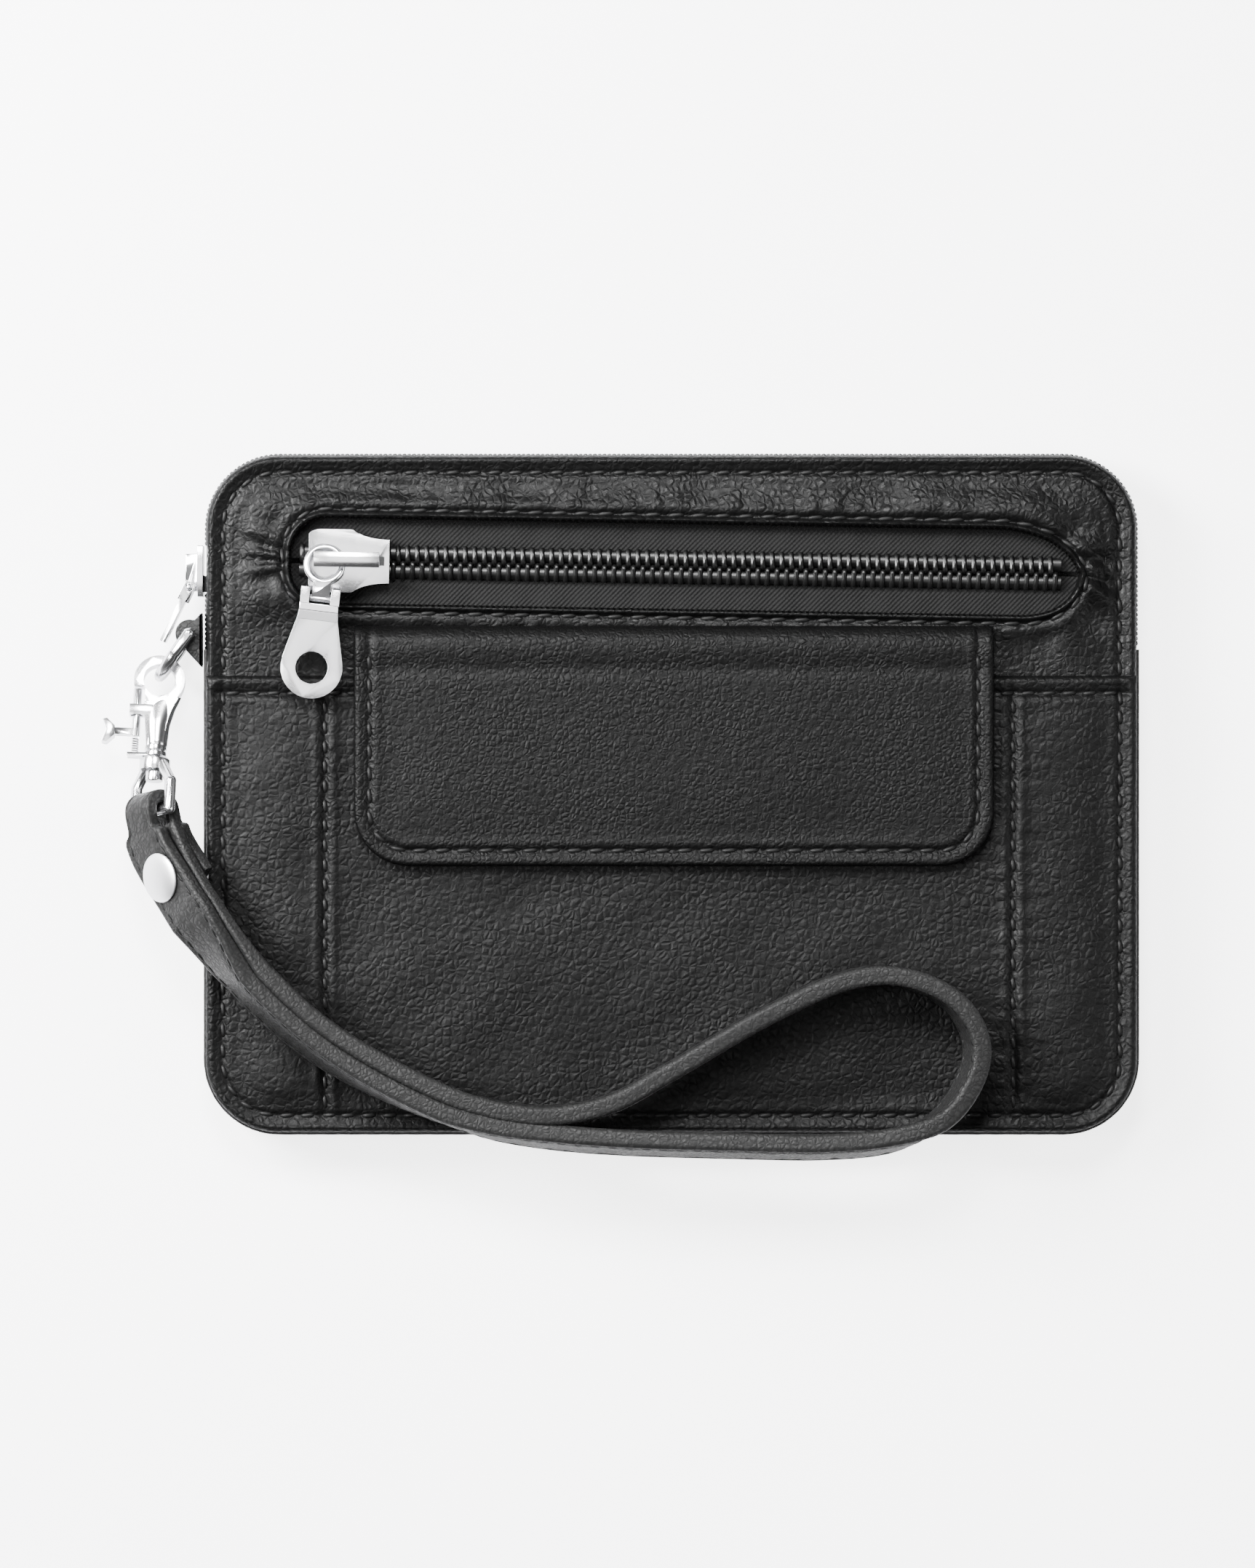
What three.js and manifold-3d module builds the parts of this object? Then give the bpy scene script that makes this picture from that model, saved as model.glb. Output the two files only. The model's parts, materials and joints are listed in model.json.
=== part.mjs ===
// A leather wristlet wallet, lying on its back: zipped wallet body, flap with a snap, two sliders,
// and a wrist strap on a swivel snap hook. Millimetres, +Z out of the front, +Y to the top edge.
import * as THREE from "three";
import { mergeVertices } from "three/addons/utils/BufferGeometryUtils.js";
import Module from "manifold-3d";

const wasm = await Module();
wasm.setup();

// ---- driving dimensions -------------------------------------------------------------------
const body = { halfWidth: 80, halfHeight: 58.2, corner: 12.5, seamY: 25, gussetProud: 0.6 };
const gap = 0.3; // left between pieces that touch
const leather = 1.3;
const cloth = 0.4;
const lining = { inset: 3.2 };
const corner = 8; // segments in a quarter of a round corner

// Layers, counted up from the outer face of the back panel.
const level = {
  backLining: leather + gap, // 1.6
  side: leather + gap,
  frontLining: 7.0,
  bagBack: 7.6,
  tape: 9.3,
  frontPanel: 10.0,
  pocket: 11.6,
  flapLining: 13.2,
  flapStiffener: 14.2,
  flapOuter: 14.8,
};
const sideTop = level.tape + cloth; // top of the side wall

const zip = {
  turn: THREE.MathUtils.degToRad(-1), // the front zip runs slightly down to the right
  centre: [1, 39.0],
  chainFrom: -65,
  chainTo: 66,
  chainHalf: 3.1,
  chainSlot: 0.5, // half of the slot that the slider's web passes through
  chainLow: 10.0,
  chainHigh: 11.7,
  tapeHalf: 9.2,
  sliderX: -57.3, // along the zip, from its centre
};

const windowSize = { left: -66.4, right: 69, low: -7.2, high: 7.4, leftRadius: 6, taper: 9 };

const flap = {
  left: -54.5,
  right: 55.3,
  top: 28.5,
  hingeY: 27.5, // where the folded top edge bends when the flap is lifted
  low: -12.4,
  corner: 9.5,
  snap: [0.5, -1.2],
  thickness: 0.8,
};

const hem = { y: 20.3 };
const mainZip = { tape: 1.0, coilProud: 0.4, coilDepth: 1.8, slot: [5.0, 6.0], coil: 0.6, sliderY: 38.4 };

const ring = { bar: [-83, 27.6], apex: [-88.2, 20.3], z: 6.4, wire: 1.0, radius: 4.8 };

const hook = {
  eyeOffset: 1.0,
  eyeOuter: 4.4,
  eyeInner: 2.75,
  half: 1.2,
  boltX: -3.6,
  boltRadius: 0.75,
};

const swivel = { centre: [-89.2, -3.2, 12.5], barHalf: 4.65, wire: 1.0, lean: 0.645 };

const strap = {
  width: 10,
  thickness: 2.2,
  pitch: 2.5, // from one riveted layer to the next
  tongue: 3.3, // half width where it folds through the swivel eye
  endAt: 3.4,
  straight: 2,
  bend: 7,
  planeEnd: 21,
  rivetAt: 12.3,
  tailAt: 15.2,
  heading: [0.55, -0.835],
  climb: THREE.MathUtils.degToRad(24),
  height: 19.8,
  steps: 330,
};

// ---- solids -------------------------------------------------------------------------------
function solid(geometry) {
  const bare = geometry.index ? geometry.toNonIndexed() : geometry.clone();
  bare.deleteAttribute("normal");
  bare.deleteAttribute("uv");
  const merged = mergeVertices(bare, 1e-4);
  return new wasm.Manifold(
    new wasm.Mesh({
      numProp: 3,
      vertProperties: merged.attributes.position.array,
      triVerts: new Uint32Array(merged.index.array),
    }),
  );
}

function geometryOf(manifold) {
  const mesh = manifold.getMesh();
  const geometry = new THREE.BufferGeometry();
  geometry.setAttribute("position", new THREE.BufferAttribute(mesh.vertProperties, 3));
  geometry.setIndex(new THREE.BufferAttribute(mesh.triVerts, 1));
  return geometry;
}

const add = (...parts) => geometryOf(parts.map(solid).reduce((all, one) => all.add(one)));
const cut = (from, ...tools) =>
  geometryOf(tools.map(solid).reduce((all, one) => all.subtract(one), solid(from)));
const common = (a, b) => geometryOf(solid(a).intersect(solid(b)));

const vector = (point) => new THREE.Vector3(...point);

// A flat piece: a shape between two heights.
function slab(shape, low, high, curveSegments = corner) {
  const options = { depth: high - low, bevelEnabled: false, curveSegments };
  const geometry = new THREE.ExtrudeGeometry(shape, options);
  return geometry.translate(0, 0, low);
}

function block(x0, x1, y0, y1, z0, z1) {
  const geometry = new THREE.BoxGeometry(x1 - x0, y1 - y0, z1 - z0);
  return geometry.translate((x0 + x1) / 2, (y0 + y1) / 2, (z0 + z1) / 2);
}

// A round bar between two points.
function rod(from, to, radius, sides = 14) {
  const a = vector(from);
  const b = vector(to);
  const geometry = new THREE.CylinderGeometry(radius, radius, a.distanceTo(b), sides);
  const heading = b.clone().sub(a).normalize();
  const turn = new THREE.Quaternion().setFromUnitVectors(new THREE.Vector3(0, 1, 0), heading);
  return geometry.applyQuaternion(turn).translate(...a.add(b).multiplyScalar(0.5).toArray());
}

const ball = (at, radius) => new THREE.SphereGeometry(radius, 14, 10).translate(...at);

function circle(x, y, radius) {
  const path = new THREE.Path();
  path.absarc(x, y, radius, 0, Math.PI * 2);
  return path;
}

function roundedRect(x0, x1, y0, y1, radius) {
  const shape = new THREE.Shape();
  shape.absarc(x1 - radius, y1 - radius, radius, 0, Math.PI / 2);
  shape.absarc(x0 + radius, y1 - radius, radius, Math.PI / 2, Math.PI);
  shape.absarc(x0 + radius, y0 + radius, radius, Math.PI, Math.PI * 1.5);
  shape.absarc(x1 - radius, y0 + radius, radius, Math.PI * 1.5, Math.PI * 2);
  shape.closePath();
  return shape;
}

// The wallet's outline, drawn in or out by an inset.
const outline = (inset = 0) =>
  roundedRect(
    -body.halfWidth + inset,
    body.halfWidth - inset,
    -body.halfHeight + inset,
    body.halfHeight - inset,
    body.corner - inset,
  );

// A profile of [radius, height] points, from the bottom up, turned about the Y axis.
function turned(profile, segments = 18) {
  return new THREE.LatheGeometry(profile.map(([r, y]) => new THREE.Vector2(r, y)), segments);
}

// ---- scene --------------------------------------------------------------------------------
const finish = {
  leather: { color: 0x1b1b1c, roughness: 0.55, metalness: 0 },
  lining: { color: 0x202022, roughness: 0.9, metalness: 0 },
  tape: { color: 0x141415, roughness: 0.85, metalness: 0 },
  coil: { color: 0x1d1d1f, roughness: 0.35, metalness: 0 },
  nickel: { color: 0xd8d8da, roughness: 0.18, metalness: 1 },
  steel: { color: 0x9a9a9c, roughness: 0.35, metalness: 1 },
  board: { color: 0x3a3835, roughness: 0.8, metalness: 0 },
};

const wallet = new THREE.Group();
function piece(parent, name, geometry, look) {
  geometry.computeVertexNormals();
  const mesh = new THREE.Mesh(geometry, new THREE.MeshStandardMaterial(finish[look]));
  mesh.name = name;
  parent.add(mesh);
  return mesh;
}

// ---- the wallet's shell -------------------------------------------------------------------
// The side wall: a band between two insets of the outline and two heights, kept above or below the
// seam where the zip band meets the gusset.
function sideBand(outer, inner, low, high, above) {
  const ringShape = outline(outer);
  ringShape.holes.push(outline(inner));
  const far = body.halfWidth + 20;
  const keep = above
    ? block(-far, far, body.seamY + gap / 2, far, low - 1, high + 1)
    : block(-far, far, -far, body.seamY - gap / 2, low - 1, high + 1);
  return common(slab(ringShape, low, high), keep);
}

function shell() {
  const group = new THREE.Group();
  piece(group, "back_panel", slab(outline(), 0, leather), "leather");
  const backLow = level.backLining;
  piece(group, "back_lining", slab(outline(lining.inset), backLow, backLow + gap), "lining");
  piece(group, "gusset", sideBand(-body.gussetProud, 1.4, level.side, sideTop, false), "leather");

  const [slotLow, slotHigh] = mainZip.slot;
  const backTapeTop = slotLow - mainZip.coil - gap;
  const frontTapeLow = slotHigh + mainZip.coil + gap;
  piece(group, "main_tape_back", sideBand(0, mainZip.tape, level.side, backTapeTop, true), "tape");
  piece(group, "main_tape_front", sideBand(0, mainZip.tape, frontTapeLow, sideTop, true), "tape");
  const coilIn = mainZip.coilDepth - mainZip.coilProud;
  const coilBack = sideBand(-mainZip.coilProud, coilIn, slotLow - mainZip.coil, slotLow, true);
  const coilFront = sideBand(-mainZip.coilProud, coilIn, slotHigh, slotHigh + mainZip.coil, true);
  piece(group, "main_coil_back", coilBack, "coil");
  piece(group, "main_coil_front", coilFront, "coil");

  for (const [name, side] of [["left", -1], ["right", 1]]) {
    // a folded fabric end that closes the chain just inside the seam
    const near = side * (body.halfWidth - 2);
    const far = side * (body.halfWidth - 3);
    const end = block(Math.min(near, far), Math.max(near, far), 19, 30, 3.2, 6.6);
    piece(group, "main_zip_end_" + name, end, "tape");
  }

  const frontLow = level.frontLining;
  piece(group, "front_lining", slab(outline(lining.inset), frontLow, frontLow + gap), "lining");
  return group;
}

// The bag behind the front zip, folded at its foot: seen from the end it is a long U.
function zipBag() {
  const foot = -50;
  const back = level.bagBack;
  const front = level.tape;
  const section = new THREE.Shape();
  section.moveTo(54, back);
  section.lineTo(54, back + gap);
  section.lineTo(foot + 1, back + gap);
  section.lineTo(foot + 0.6, front - 0.2);
  section.lineTo(foot + 1, front);
  section.lineTo(28.2, front);
  section.lineTo(28.2, front + cloth);
  section.lineTo(foot + 0.6, front + cloth);
  section.lineTo(foot, front);
  section.lineTo(foot, back + 0.3);
  section.lineTo(foot + 0.6, back);
  section.closePath();
  const long = 148;
  const geometry = new THREE.ExtrudeGeometry(section, { depth: long, bevelEnabled: false });
  // the section's own axes become Y and Z, and its depth becomes X
  const turn = new THREE.Matrix4().makeBasis(
    new THREE.Vector3(0, 1, 0),
    new THREE.Vector3(0, 0, 1),
    new THREE.Vector3(1, 0, 0),
  );
  return geometry.applyMatrix4(turn).translate(-long / 2, 0, 0);
}

function windowShape() {
  const { left, right, low, high, leftRadius, taper } = windowSize;
  const shape = new THREE.Shape();
  shape.moveTo(left + leftRadius, low);
  shape.lineTo(right - taper, low);
  shape.quadraticCurveTo(right - 1, low + 0.6, right, 0);
  shape.quadraticCurveTo(right - 2.5, high - 1, right - taper - 4, high);
  shape.lineTo(left + leftRadius, high);
  shape.absarc(left + leftRadius, high - leftRadius, leftRadius, Math.PI / 2, Math.PI);
  shape.absarc(left + leftRadius, low + leftRadius, leftRadius, Math.PI, Math.PI * 1.5);
  return shape;
}

// Turned and placed with the front zip.
function alongZip(geometry) {
  return geometry.rotateZ(zip.turn).translate(zip.centre[0], zip.centre[1], 0);
}

function front() {
  const group = new THREE.Group();
  const opening = alongZip(slab(windowShape(), level.frontPanel - 1, level.frontPanel + leather + 1));
  const panel = cut(slab(outline(), level.frontPanel, level.frontPanel + leather), opening);
  piece(group, "front_panel", panel, "leather");
  piece(group, "zip_pocket_bag", zipBag(), "lining");

  const { chainFrom, chainTo, chainSlot, chainHalf, tapeHalf } = zip;
  for (const [name, side] of [["upper", 1], ["lower", -1]]) {
    const span = (near, far) => (side > 0 ? [near, far] : [-far, -near]);
    const tape = block(-69, 71, ...span(chainSlot, tapeHalf), level.tape, level.tape + cloth);
    piece(group, "front_zip_tape_" + name, alongZip(tape), "tape");
    const coil = block(chainFrom, chainTo, ...span(chainSlot, chainHalf), zip.chainLow, zip.chainHigh);
    piece(group, "front_coil_" + name, alongZip(coil), "coil");
  }

  const [snapX, snapY] = flap.snap;
  const low = level.pocket;
  const keep = block(-100, 100, -100, hem.y, low - 1, low + leather + 1);
  const panelBelow = common(slab(outline(), low, low + leather), keep);
  const post = rod([snapX, snapY, low - 1], [snapX, snapY, low + 3], 2.1, 20);
  const recess = rod([snapX, snapY, low - 1], [snapX, snapY, low + 0.7], 5.3, 24);
  piece(group, "pocket_panel", cut(panelBelow, post, recess), "leather");

  const root = block(flap.left + 2.5, flap.right - 2.5, hem.y + 0.7, flap.hingeY - 0.5, low, low + leather);
  piece(group, "flap_root", root, "leather");
  return group;
}

// ---- the flap and its snap ----------------------------------------------------------------
function flapShape(inset) {
  const { left, right, top, low, corner: radius } = flap;
  const shape = new THREE.Shape();
  shape.moveTo(left + inset, top - inset);
  shape.lineTo(left + inset, low + radius);
  shape.absarc(left + radius, low + radius, radius - inset, Math.PI, Math.PI * 1.5);
  shape.absarc(right - radius, low + radius, radius - inset, Math.PI * 1.5, Math.PI * 2);
  shape.lineTo(right - inset, top - inset);
  shape.closePath();
  return shape;
}

function flapGroup() {
  const group = new THREE.Group();
  const [snapX, snapY] = flap.snap;
  const seat = circle(snapX, snapY, 6.3);

  const under = flapShape(0.5);
  under.holes.push(seat);
  piece(group, "flap_lining", slab(under, level.flapLining, level.flapLining + 0.7), "leather");

  const board = flapShape(3);
  board.holes.push(seat);
  piece(group, "flap_stiffener", slab(board, level.flapStiffener, level.flapStiffener + gap), "board");

  const outerLow = level.flapOuter;
  piece(group, "flap_outer", slab(flapShape(0), outerLow, outerLow + flap.thickness), "leather");

  const low = level.flapLining + 0.1;
  const high = level.flapOuter - gap;
  const profile = [[2.6, low], [6, low], [6, high - 0.4], [5.6, high], [2.6, high], [2.6, low]];
  const socket = turned(profile, 28).rotateX(Math.PI / 2).translate(snapX, snapY, 0);
  piece(group, "snap_socket", socket, "nickel");
  return group;
}

function snapStud() {
  const low = level.pocket + 0.1;
  const profile = [[0, low], [5, low], [5, low + 0.35], [1.8, low + 0.35], [1.8, low + 2.1], [1.1, low + 2.5],
    [0, low + 2.5]];
  return turned(profile, 24).rotateX(Math.PI / 2).translate(flap.snap[0], flap.snap[1], 0);
}

// ---- the front slider, its link and its pull tab --------------------------------------------
const sliderAt = new THREE.Vector3(zip.sliderX, 0, 0)
  .applyAxisAngle(new THREE.Vector3(0, 0, 1), zip.turn)
  .add(new THREE.Vector3(zip.centre[0], zip.centre[1], 0));
const link = {
  radius: 3.1,
  wire: 0.65,
  tilt: THREE.MathUtils.degToRad(12),
  at: [-3.2, -0.7, 14.55],
  pinAt: 6.1,
};
const bridge = { y: 0.2, half: 1.3, low: 15.8, high: 16.9 };

function sliderPlate(low, high) {
  const shape = new THREE.Shape();
  shape.moveTo(-6, -4.6);
  shape.quadraticCurveTo(-5.6, -5.3, -4, -5.4);
  shape.lineTo(1.4, -5.4);
  shape.quadraticCurveTo(3.4, -3.8, 7.8, -3.7);
  shape.lineTo(7.8, 3.7);
  shape.quadraticCurveTo(3.4, 3.8, 1.4, 5.4);
  shape.lineTo(-4, 5.4);
  shape.quadraticCurveTo(-5.6, 5.3, -6, 4.6);
  shape.closePath();
  return slab(shape, low, high, 5);
}

function frontSlider() {
  const top = 12.0;
  const under = 8.2;
  const upper = sliderPlate(top, top + 1);
  const lower = sliderPlate(under, under + 0.8);
  const web = block(-5.2, -1.8, -0.2, 0.2, under + 0.4, top + 0.5);
  const flanges = [-1, 1].map((side) =>
    block(1.8, 7.6, side * 3.55 - 0.15, side * 3.55 + 0.15, 10.3, top + 0.5));
  const { y, half, low, high } = bridge;
  const bar = block(-5, 6.2, y - half, y + half, low, high);
  const posts = [[-4.6, -3.4], [4.6, 6.2]].map(([x0, x1]) =>
    block(x0, x1, y - half + 0.3, y + half - 0.3, top + 0.5, low + 0.5));
  const nib = block(6.0, 7.0, y - 0.9, y + 0.6, top + 0.5, low + 0.2);
  return add(upper, lower, web, ...flanges, bar, ...posts, nib);
}

// The round link lies about the bridge's left post, its foot reaching down into the pull tab.
function linkGeometry() {
  const { radius, wire, pinAt } = link;
  const round = new THREE.TorusGeometry(radius, wire, 10, 32);
  const neck = block(-1.5, 1.5, -pinAt, -radius, -wire * 0.8, wire * 0.8);
  const pin = rod([-2.6, -pinAt, 0], [2.6, -pinAt, 0], 0.6, 12);
  return add(round, neck, pin);
}

function tabGeometry() {
  const sleeve = block(-3.35, 3.35, -2.2, 1.8, -0.95, 1.15);
  const shape = new THREE.Shape();
  const drop = 11.9; // from the pin to the middle of the round end
  const end = 5.3;
  shape.moveTo(3.3, -1.9);
  shape.lineTo(-3.3, -1.9);
  shape.lineTo(-3.5, -3.6);
  shape.lineTo(-end * 0.99, -drop + 1.2);
  shape.absarc(0, -drop, end, Math.PI * 0.93, Math.PI * 2.07);
  shape.lineTo(3.5, -3.6);
  shape.closePath();
  shape.holes.push(circle(0, -drop, 2.8));
  const blade = slab(shape, 0.15, 1.15, 10);
  const bore = rod([-2.95, 0, 0], [2.95, 0, 0], 0.9, 12);
  const slot = block(-1.85, 1.85, -1.3, 3, -2, 2);
  return cut(add(sleeve, blade), bore, slot);
}

function frontPull() {
  const slider = new THREE.Group();
  slider.position.copy(sliderAt);
  slider.rotation.z = zip.turn;
  piece(slider, "front_slider", frontSlider(), "nickel");

  const linkGroup = new THREE.Group();
  linkGroup.position.set(...link.at);
  linkGroup.rotation.set(-link.tilt, 0, THREE.MathUtils.degToRad(-6), "ZXY");
  piece(linkGroup, "front_link", linkGeometry(), "nickel");

  const tabGroup = new THREE.Group();
  tabGroup.position.set(0, -link.pinAt, 0);
  tabGroup.rotation.x = link.tilt;
  piece(tabGroup, "front_pull_tab", tabGeometry(), "nickel");
  linkGroup.add(tabGroup);
  slider.add(linkGroup);
  return slider;
}

// ---- the main slider on the left side --------------------------------------------------------
function mainSlider() {
  const group = new THREE.Group();
  const mid = (mainZip.slot[0] + mainZip.slot[1]) / 2;
  const outerX = -(body.halfWidth + mainZip.coilProud + gap);
  const innerX = -(body.halfWidth - mainZip.coilDepth + mainZip.coilProud - gap);
  const y = mainZip.sliderY;
  const outerPlate = block(outerX - 0.9, outerX, y - 4.4, y + 4.4, mid - 3.9, mid + 3.9);
  const innerPlate = block(innerX, innerX + 0.8, y - 4.4, y + 4.4, mid - 2.6, mid + 2.6);
  const web = block(outerX - 0.4, innerX + 0.4, y - 3.6, y - 0.8, mid - 0.2, mid + 0.2);
  const pivot = [outerX - 2.4, y - 2.8];
  const lug = block(pivot[0] - 0.7, outerX - 0.4, pivot[1] - 0.7, y + 3, mid - 0.5, mid + 1.5);
  const pin = rod([...pivot, mid - 2.2], [...pivot, mid + 3.2], 0.45, 10);
  piece(group, "main_slider", add(outerPlate, innerPlate, web, lug, pin), "nickel");

  // the pull: a narrow plate with a hole, on two ears about the slider's pin
  const pull = new THREE.Group();
  pull.position.set(...pivot, mid + 0.5);
  pull.rotation.z = THREE.MathUtils.degToRad(-26);
  const plate = block(-0.5, 0.5, -10.4, -2.3, -2.5, 2.5);
  const ears = [-1, 1].map((side) => block(-0.95, 0.95, -2.6, 0.95, side * 2.05 - 0.45, side * 2.05 + 0.45));
  const eye = rod([-2, -8, 0], [2, -8, 0], 1.3, 14);
  const bore = rod([0, 0, -4], [0, 0, 4], 0.75, 10);
  piece(pull, "main_pull", cut(add(plate, ...ears), eye, bore), "nickel");
  group.add(pull);
  return group;
}

// ---- side tab, D-ring and snap hook -----------------------------------------------------------
function sideTab() {
  const [x, y] = ring.bar;
  const edge = -(body.halfWidth + body.gussetProud + gap);
  const shape = new THREE.Shape();
  shape.moveTo(edge, 21.8);
  shape.lineTo(edge, 31.2);
  shape.absarc(x, y, 2.45, THREE.MathUtils.degToRad(70), THREE.MathUtils.degToRad(215));
  shape.closePath();
  shape.holes.push(circle(x, y, ring.wire + 0.35));
  return slab(shape, 3.0, 9.8, 8);
}

class Arc extends THREE.Curve {
  constructor(centre, radius, from, to) {
    super();
    Object.assign(this, { centre, radius, from, to });
  }
  getPoint(t, target = new THREE.Vector3()) {
    const angle = this.from + (this.to - this.from) * t;
    return target.set(
      this.centre + this.radius * Math.cos(angle),
      this.radius * Math.sin(angle),
      0,
    );
  }
}

function wireSection(radius, sides = 10) {
  const shape = new THREE.Shape();
  for (let i = 0; i < sides; i++) {
    const angle = (Math.PI * 2 * i) / sides;
    const point = [radius * Math.cos(angle), radius * Math.sin(angle)];
    if (i === 0) shape.moveTo(...point);
    else shape.lineTo(...point);
  }
  shape.closePath();
  return shape;
}

// In its own plane: the straight bar on the Y axis, the bow reaching along X.
function dRing() {
  const { wire, radius } = ring;
  const reach = Math.hypot(ring.apex[0] - ring.bar[0], ring.apex[1] - ring.bar[1]);
  const centre = reach - radius;
  const bow = new THREE.ExtrudeGeometry(wireSection(wire), {
    steps: 18,
    extrudePath: new Arc(centre, radius, -Math.PI / 2, Math.PI / 2),
  });
  const bar = rod([0, -radius, 0], [0, radius, 0], wire, 10);
  const arms = [-1, 1].flatMap((side) => [
    rod([0, side * radius, 0], [centre + 0.1, side * radius, 0], wire, 10),
    ball([0, side * radius, 0], wire),
  ]);
  const geometry = add(bow, bar, ...arms);
  const along = new THREE.Vector3(ring.apex[0] - ring.bar[0], ring.apex[1] - ring.bar[1], 0).normalize();
  const up = new THREE.Vector3(0, 0, 1);
  const turn = new THREE.Matrix4().makeBasis(along, up, along.clone().cross(up));
  return geometry.applyMatrix4(turn).translate(ring.bar[0], ring.bar[1], ring.z);
}

// The hook's own frame: origin where the ring bears, Y up along the hook, Z out of its face.
const hookOrigin = new THREE.Vector3(ring.apex[0], ring.apex[1], ring.z);
const eyeBar = vector(swivel.centre);
const hookAxis = eyeBar.clone().sub(hookOrigin).normalize(); // from the ring to the strap
const hookFace = new THREE.Vector3(0, 0, 1).addScaledVector(hookAxis, -hookAxis.z).normalize();
const hookSide = hookAxis.clone().negate().cross(hookFace);
const hookTurn = new THREE.Matrix4().makeBasis(hookSide, hookAxis.clone().negate(), hookFace);
const hookLength = eyeBar.distanceTo(hookOrigin);

function hookBody() {
  const { eyeOffset, eyeOuter, eyeInner, half, boltX, boltRadius } = hook;
  const eye = new THREE.Shape();
  eye.absarc(0, -eyeOffset, eyeOuter, 0, Math.PI * 2);
  eye.holes.push(circle(0, -eyeOffset, eyeInner));
  const mouth = block(-5.2, -2.3, -5.2, -2.2, -3, 3);
  const shank = new THREE.Shape();
  shank.moveTo(-2.45, -5.0);
  shank.lineTo(3.4, -4.1);
  shank.quadraticCurveTo(1.4, -7.5, 1.3, -12.7);
  shank.lineTo(-1.6, -12.7);
  shank.closePath();
  const lugs = [[-7.2, -5.4], [-14.55, -14.0]].map(([y0, y1]) =>
    block(boltX - 1.25, -0.8, y0, y1, -1.25, 1.25));
  const neck = turned([[0, -18.9], [1.5, -18.7], [1.5, -17.2], [0.9, -17.0], [0.9, -14.4], [1.9, -14.4],
    [1.9, -13.7], [1.5, -13.5], [1.9, -13.3], [1.9, -12.6], [1.3, -12.2], [0, -12.0]]);
  const bolted = rod([boltX, -8, 0], [boltX, -4, 0], boltRadius + gap, 14);
  return cut(add(slab(eye, -half, half, 20), slab(shank, -half, half), ...lugs, neck), mouth, bolted);
}

function hookBolt() {
  const { boltX, boltRadius } = hook;
  const rodPart = rod([boltX, -10.9, 0], [boltX, -2.5, 0], boltRadius, 14);
  const stem = block(-7.6, boltX, -10.8, -9.6, -0.7, 0.7);
  const crescent = new THREE.Shape();
  crescent.moveTo(-7.2, -9.4);
  crescent.lineTo(-8.6, -8.1);
  crescent.lineTo(-9.4, -8.3);
  crescent.lineTo(-8.7, -10.2);
  crescent.lineTo(-9.4, -12.1);
  crescent.lineTo(-8.6, -12.3);
  crescent.lineTo(-7.2, -11.0);
  crescent.closePath();
  return add(rodPart, stem, slab(crescent, -1.2, 1.2));
}

const boltSpring = () => rod([hook.boltX, -13.7, 0], [hook.boltX, -11.2, 0], 0.7, 10);

// The swivel eye: a collar about the hook's shank and a bowed loop with a straight bar for the strap.
const barDirection = (() => {
  const rough = new THREE.Vector3(swivel.lean, 0, Math.sqrt(1 - swivel.lean ** 2));
  return rough.addScaledVector(hookAxis, -rough.dot(hookAxis)).normalize();
})();

function swivelEye() {
  const { barHalf, wire } = swivel;
  const collar = turned([[1.2, -16.9], [2.6, -16.9], [2.6, -15.0], [2.3, -14.7], [1.2, -14.7], [1.2, -16.9]]);
  const low = -hookLength;
  const corners = [[barHalf, low], [-barHalf, low]];
  const bar = rod([-barHalf, low, 0], [barHalf, low, 0], wire, 12);
  const arms = [-1, 1].flatMap((side) => [
    rod([side * 2.0, -15.9, 0], [side * barHalf, -19.4, 0], wire * 0.95, 12),
    rod([side * barHalf, -19.4, 0], [side * barHalf, low, 0], wire, 12),
    ball([side * barHalf, -19.4, 0], wire),
  ]);
  const balls = corners.map(([x, y]) => ball([x, y, 0], wire));
  const shaft = rod([0, -14, 0], [0, -19.2, 0], 1.2, 18);
  const loop = cut(add(collar, bar, ...arms, ...balls), shaft);
  const turn = new THREE.Matrix4().makeBasis(
    barDirection,
    hookAxis.clone().negate(),
    barDirection.clone().cross(hookAxis.clone().negate()),
  );
  return loop.applyMatrix4(turn).translate(...hookOrigin.toArray());
}

function hardware() {
  const group = new THREE.Group();
  piece(group, "side_tab", sideTab(), "leather");
  piece(group, "d_ring", dRing(), "nickel");
  const hookGroup = new THREE.Group();
  hookGroup.position.copy(hookOrigin);
  hookGroup.quaternion.setFromRotationMatrix(hookTurn);
  piece(hookGroup, "hook_body", hookBody(), "nickel");
  piece(hookGroup, "hook_bolt", hookBolt(), "nickel");
  piece(hookGroup, "bolt_spring", boltSpring(), "steel");
  group.add(hookGroup);
  piece(group, "swivel_eye", swivelEye(), "nickel");
  return group;
}

// ---- the wrist strap --------------------------------------------------------------------------
// One stitched strap: from its cut end between the riveted layers, out to the loop and back, round
// the bar of the swivel eye and down to the tail behind the rivet. Near the eye it lies in a plane.
const heading3 = new THREE.Vector3(
  strap.heading[0] * Math.cos(strap.climb),
  strap.heading[1] * Math.cos(strap.climb),
  Math.sin(strap.climb),
).normalize();
const leaving = heading3.clone().addScaledVector(barDirection, -heading3.dot(barDirection)).normalize();
const strapFace = leaving.clone().cross(barDirection).normalize(); // out of the outer layer
const bendAngle = leaving.angleTo(heading3);

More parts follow.
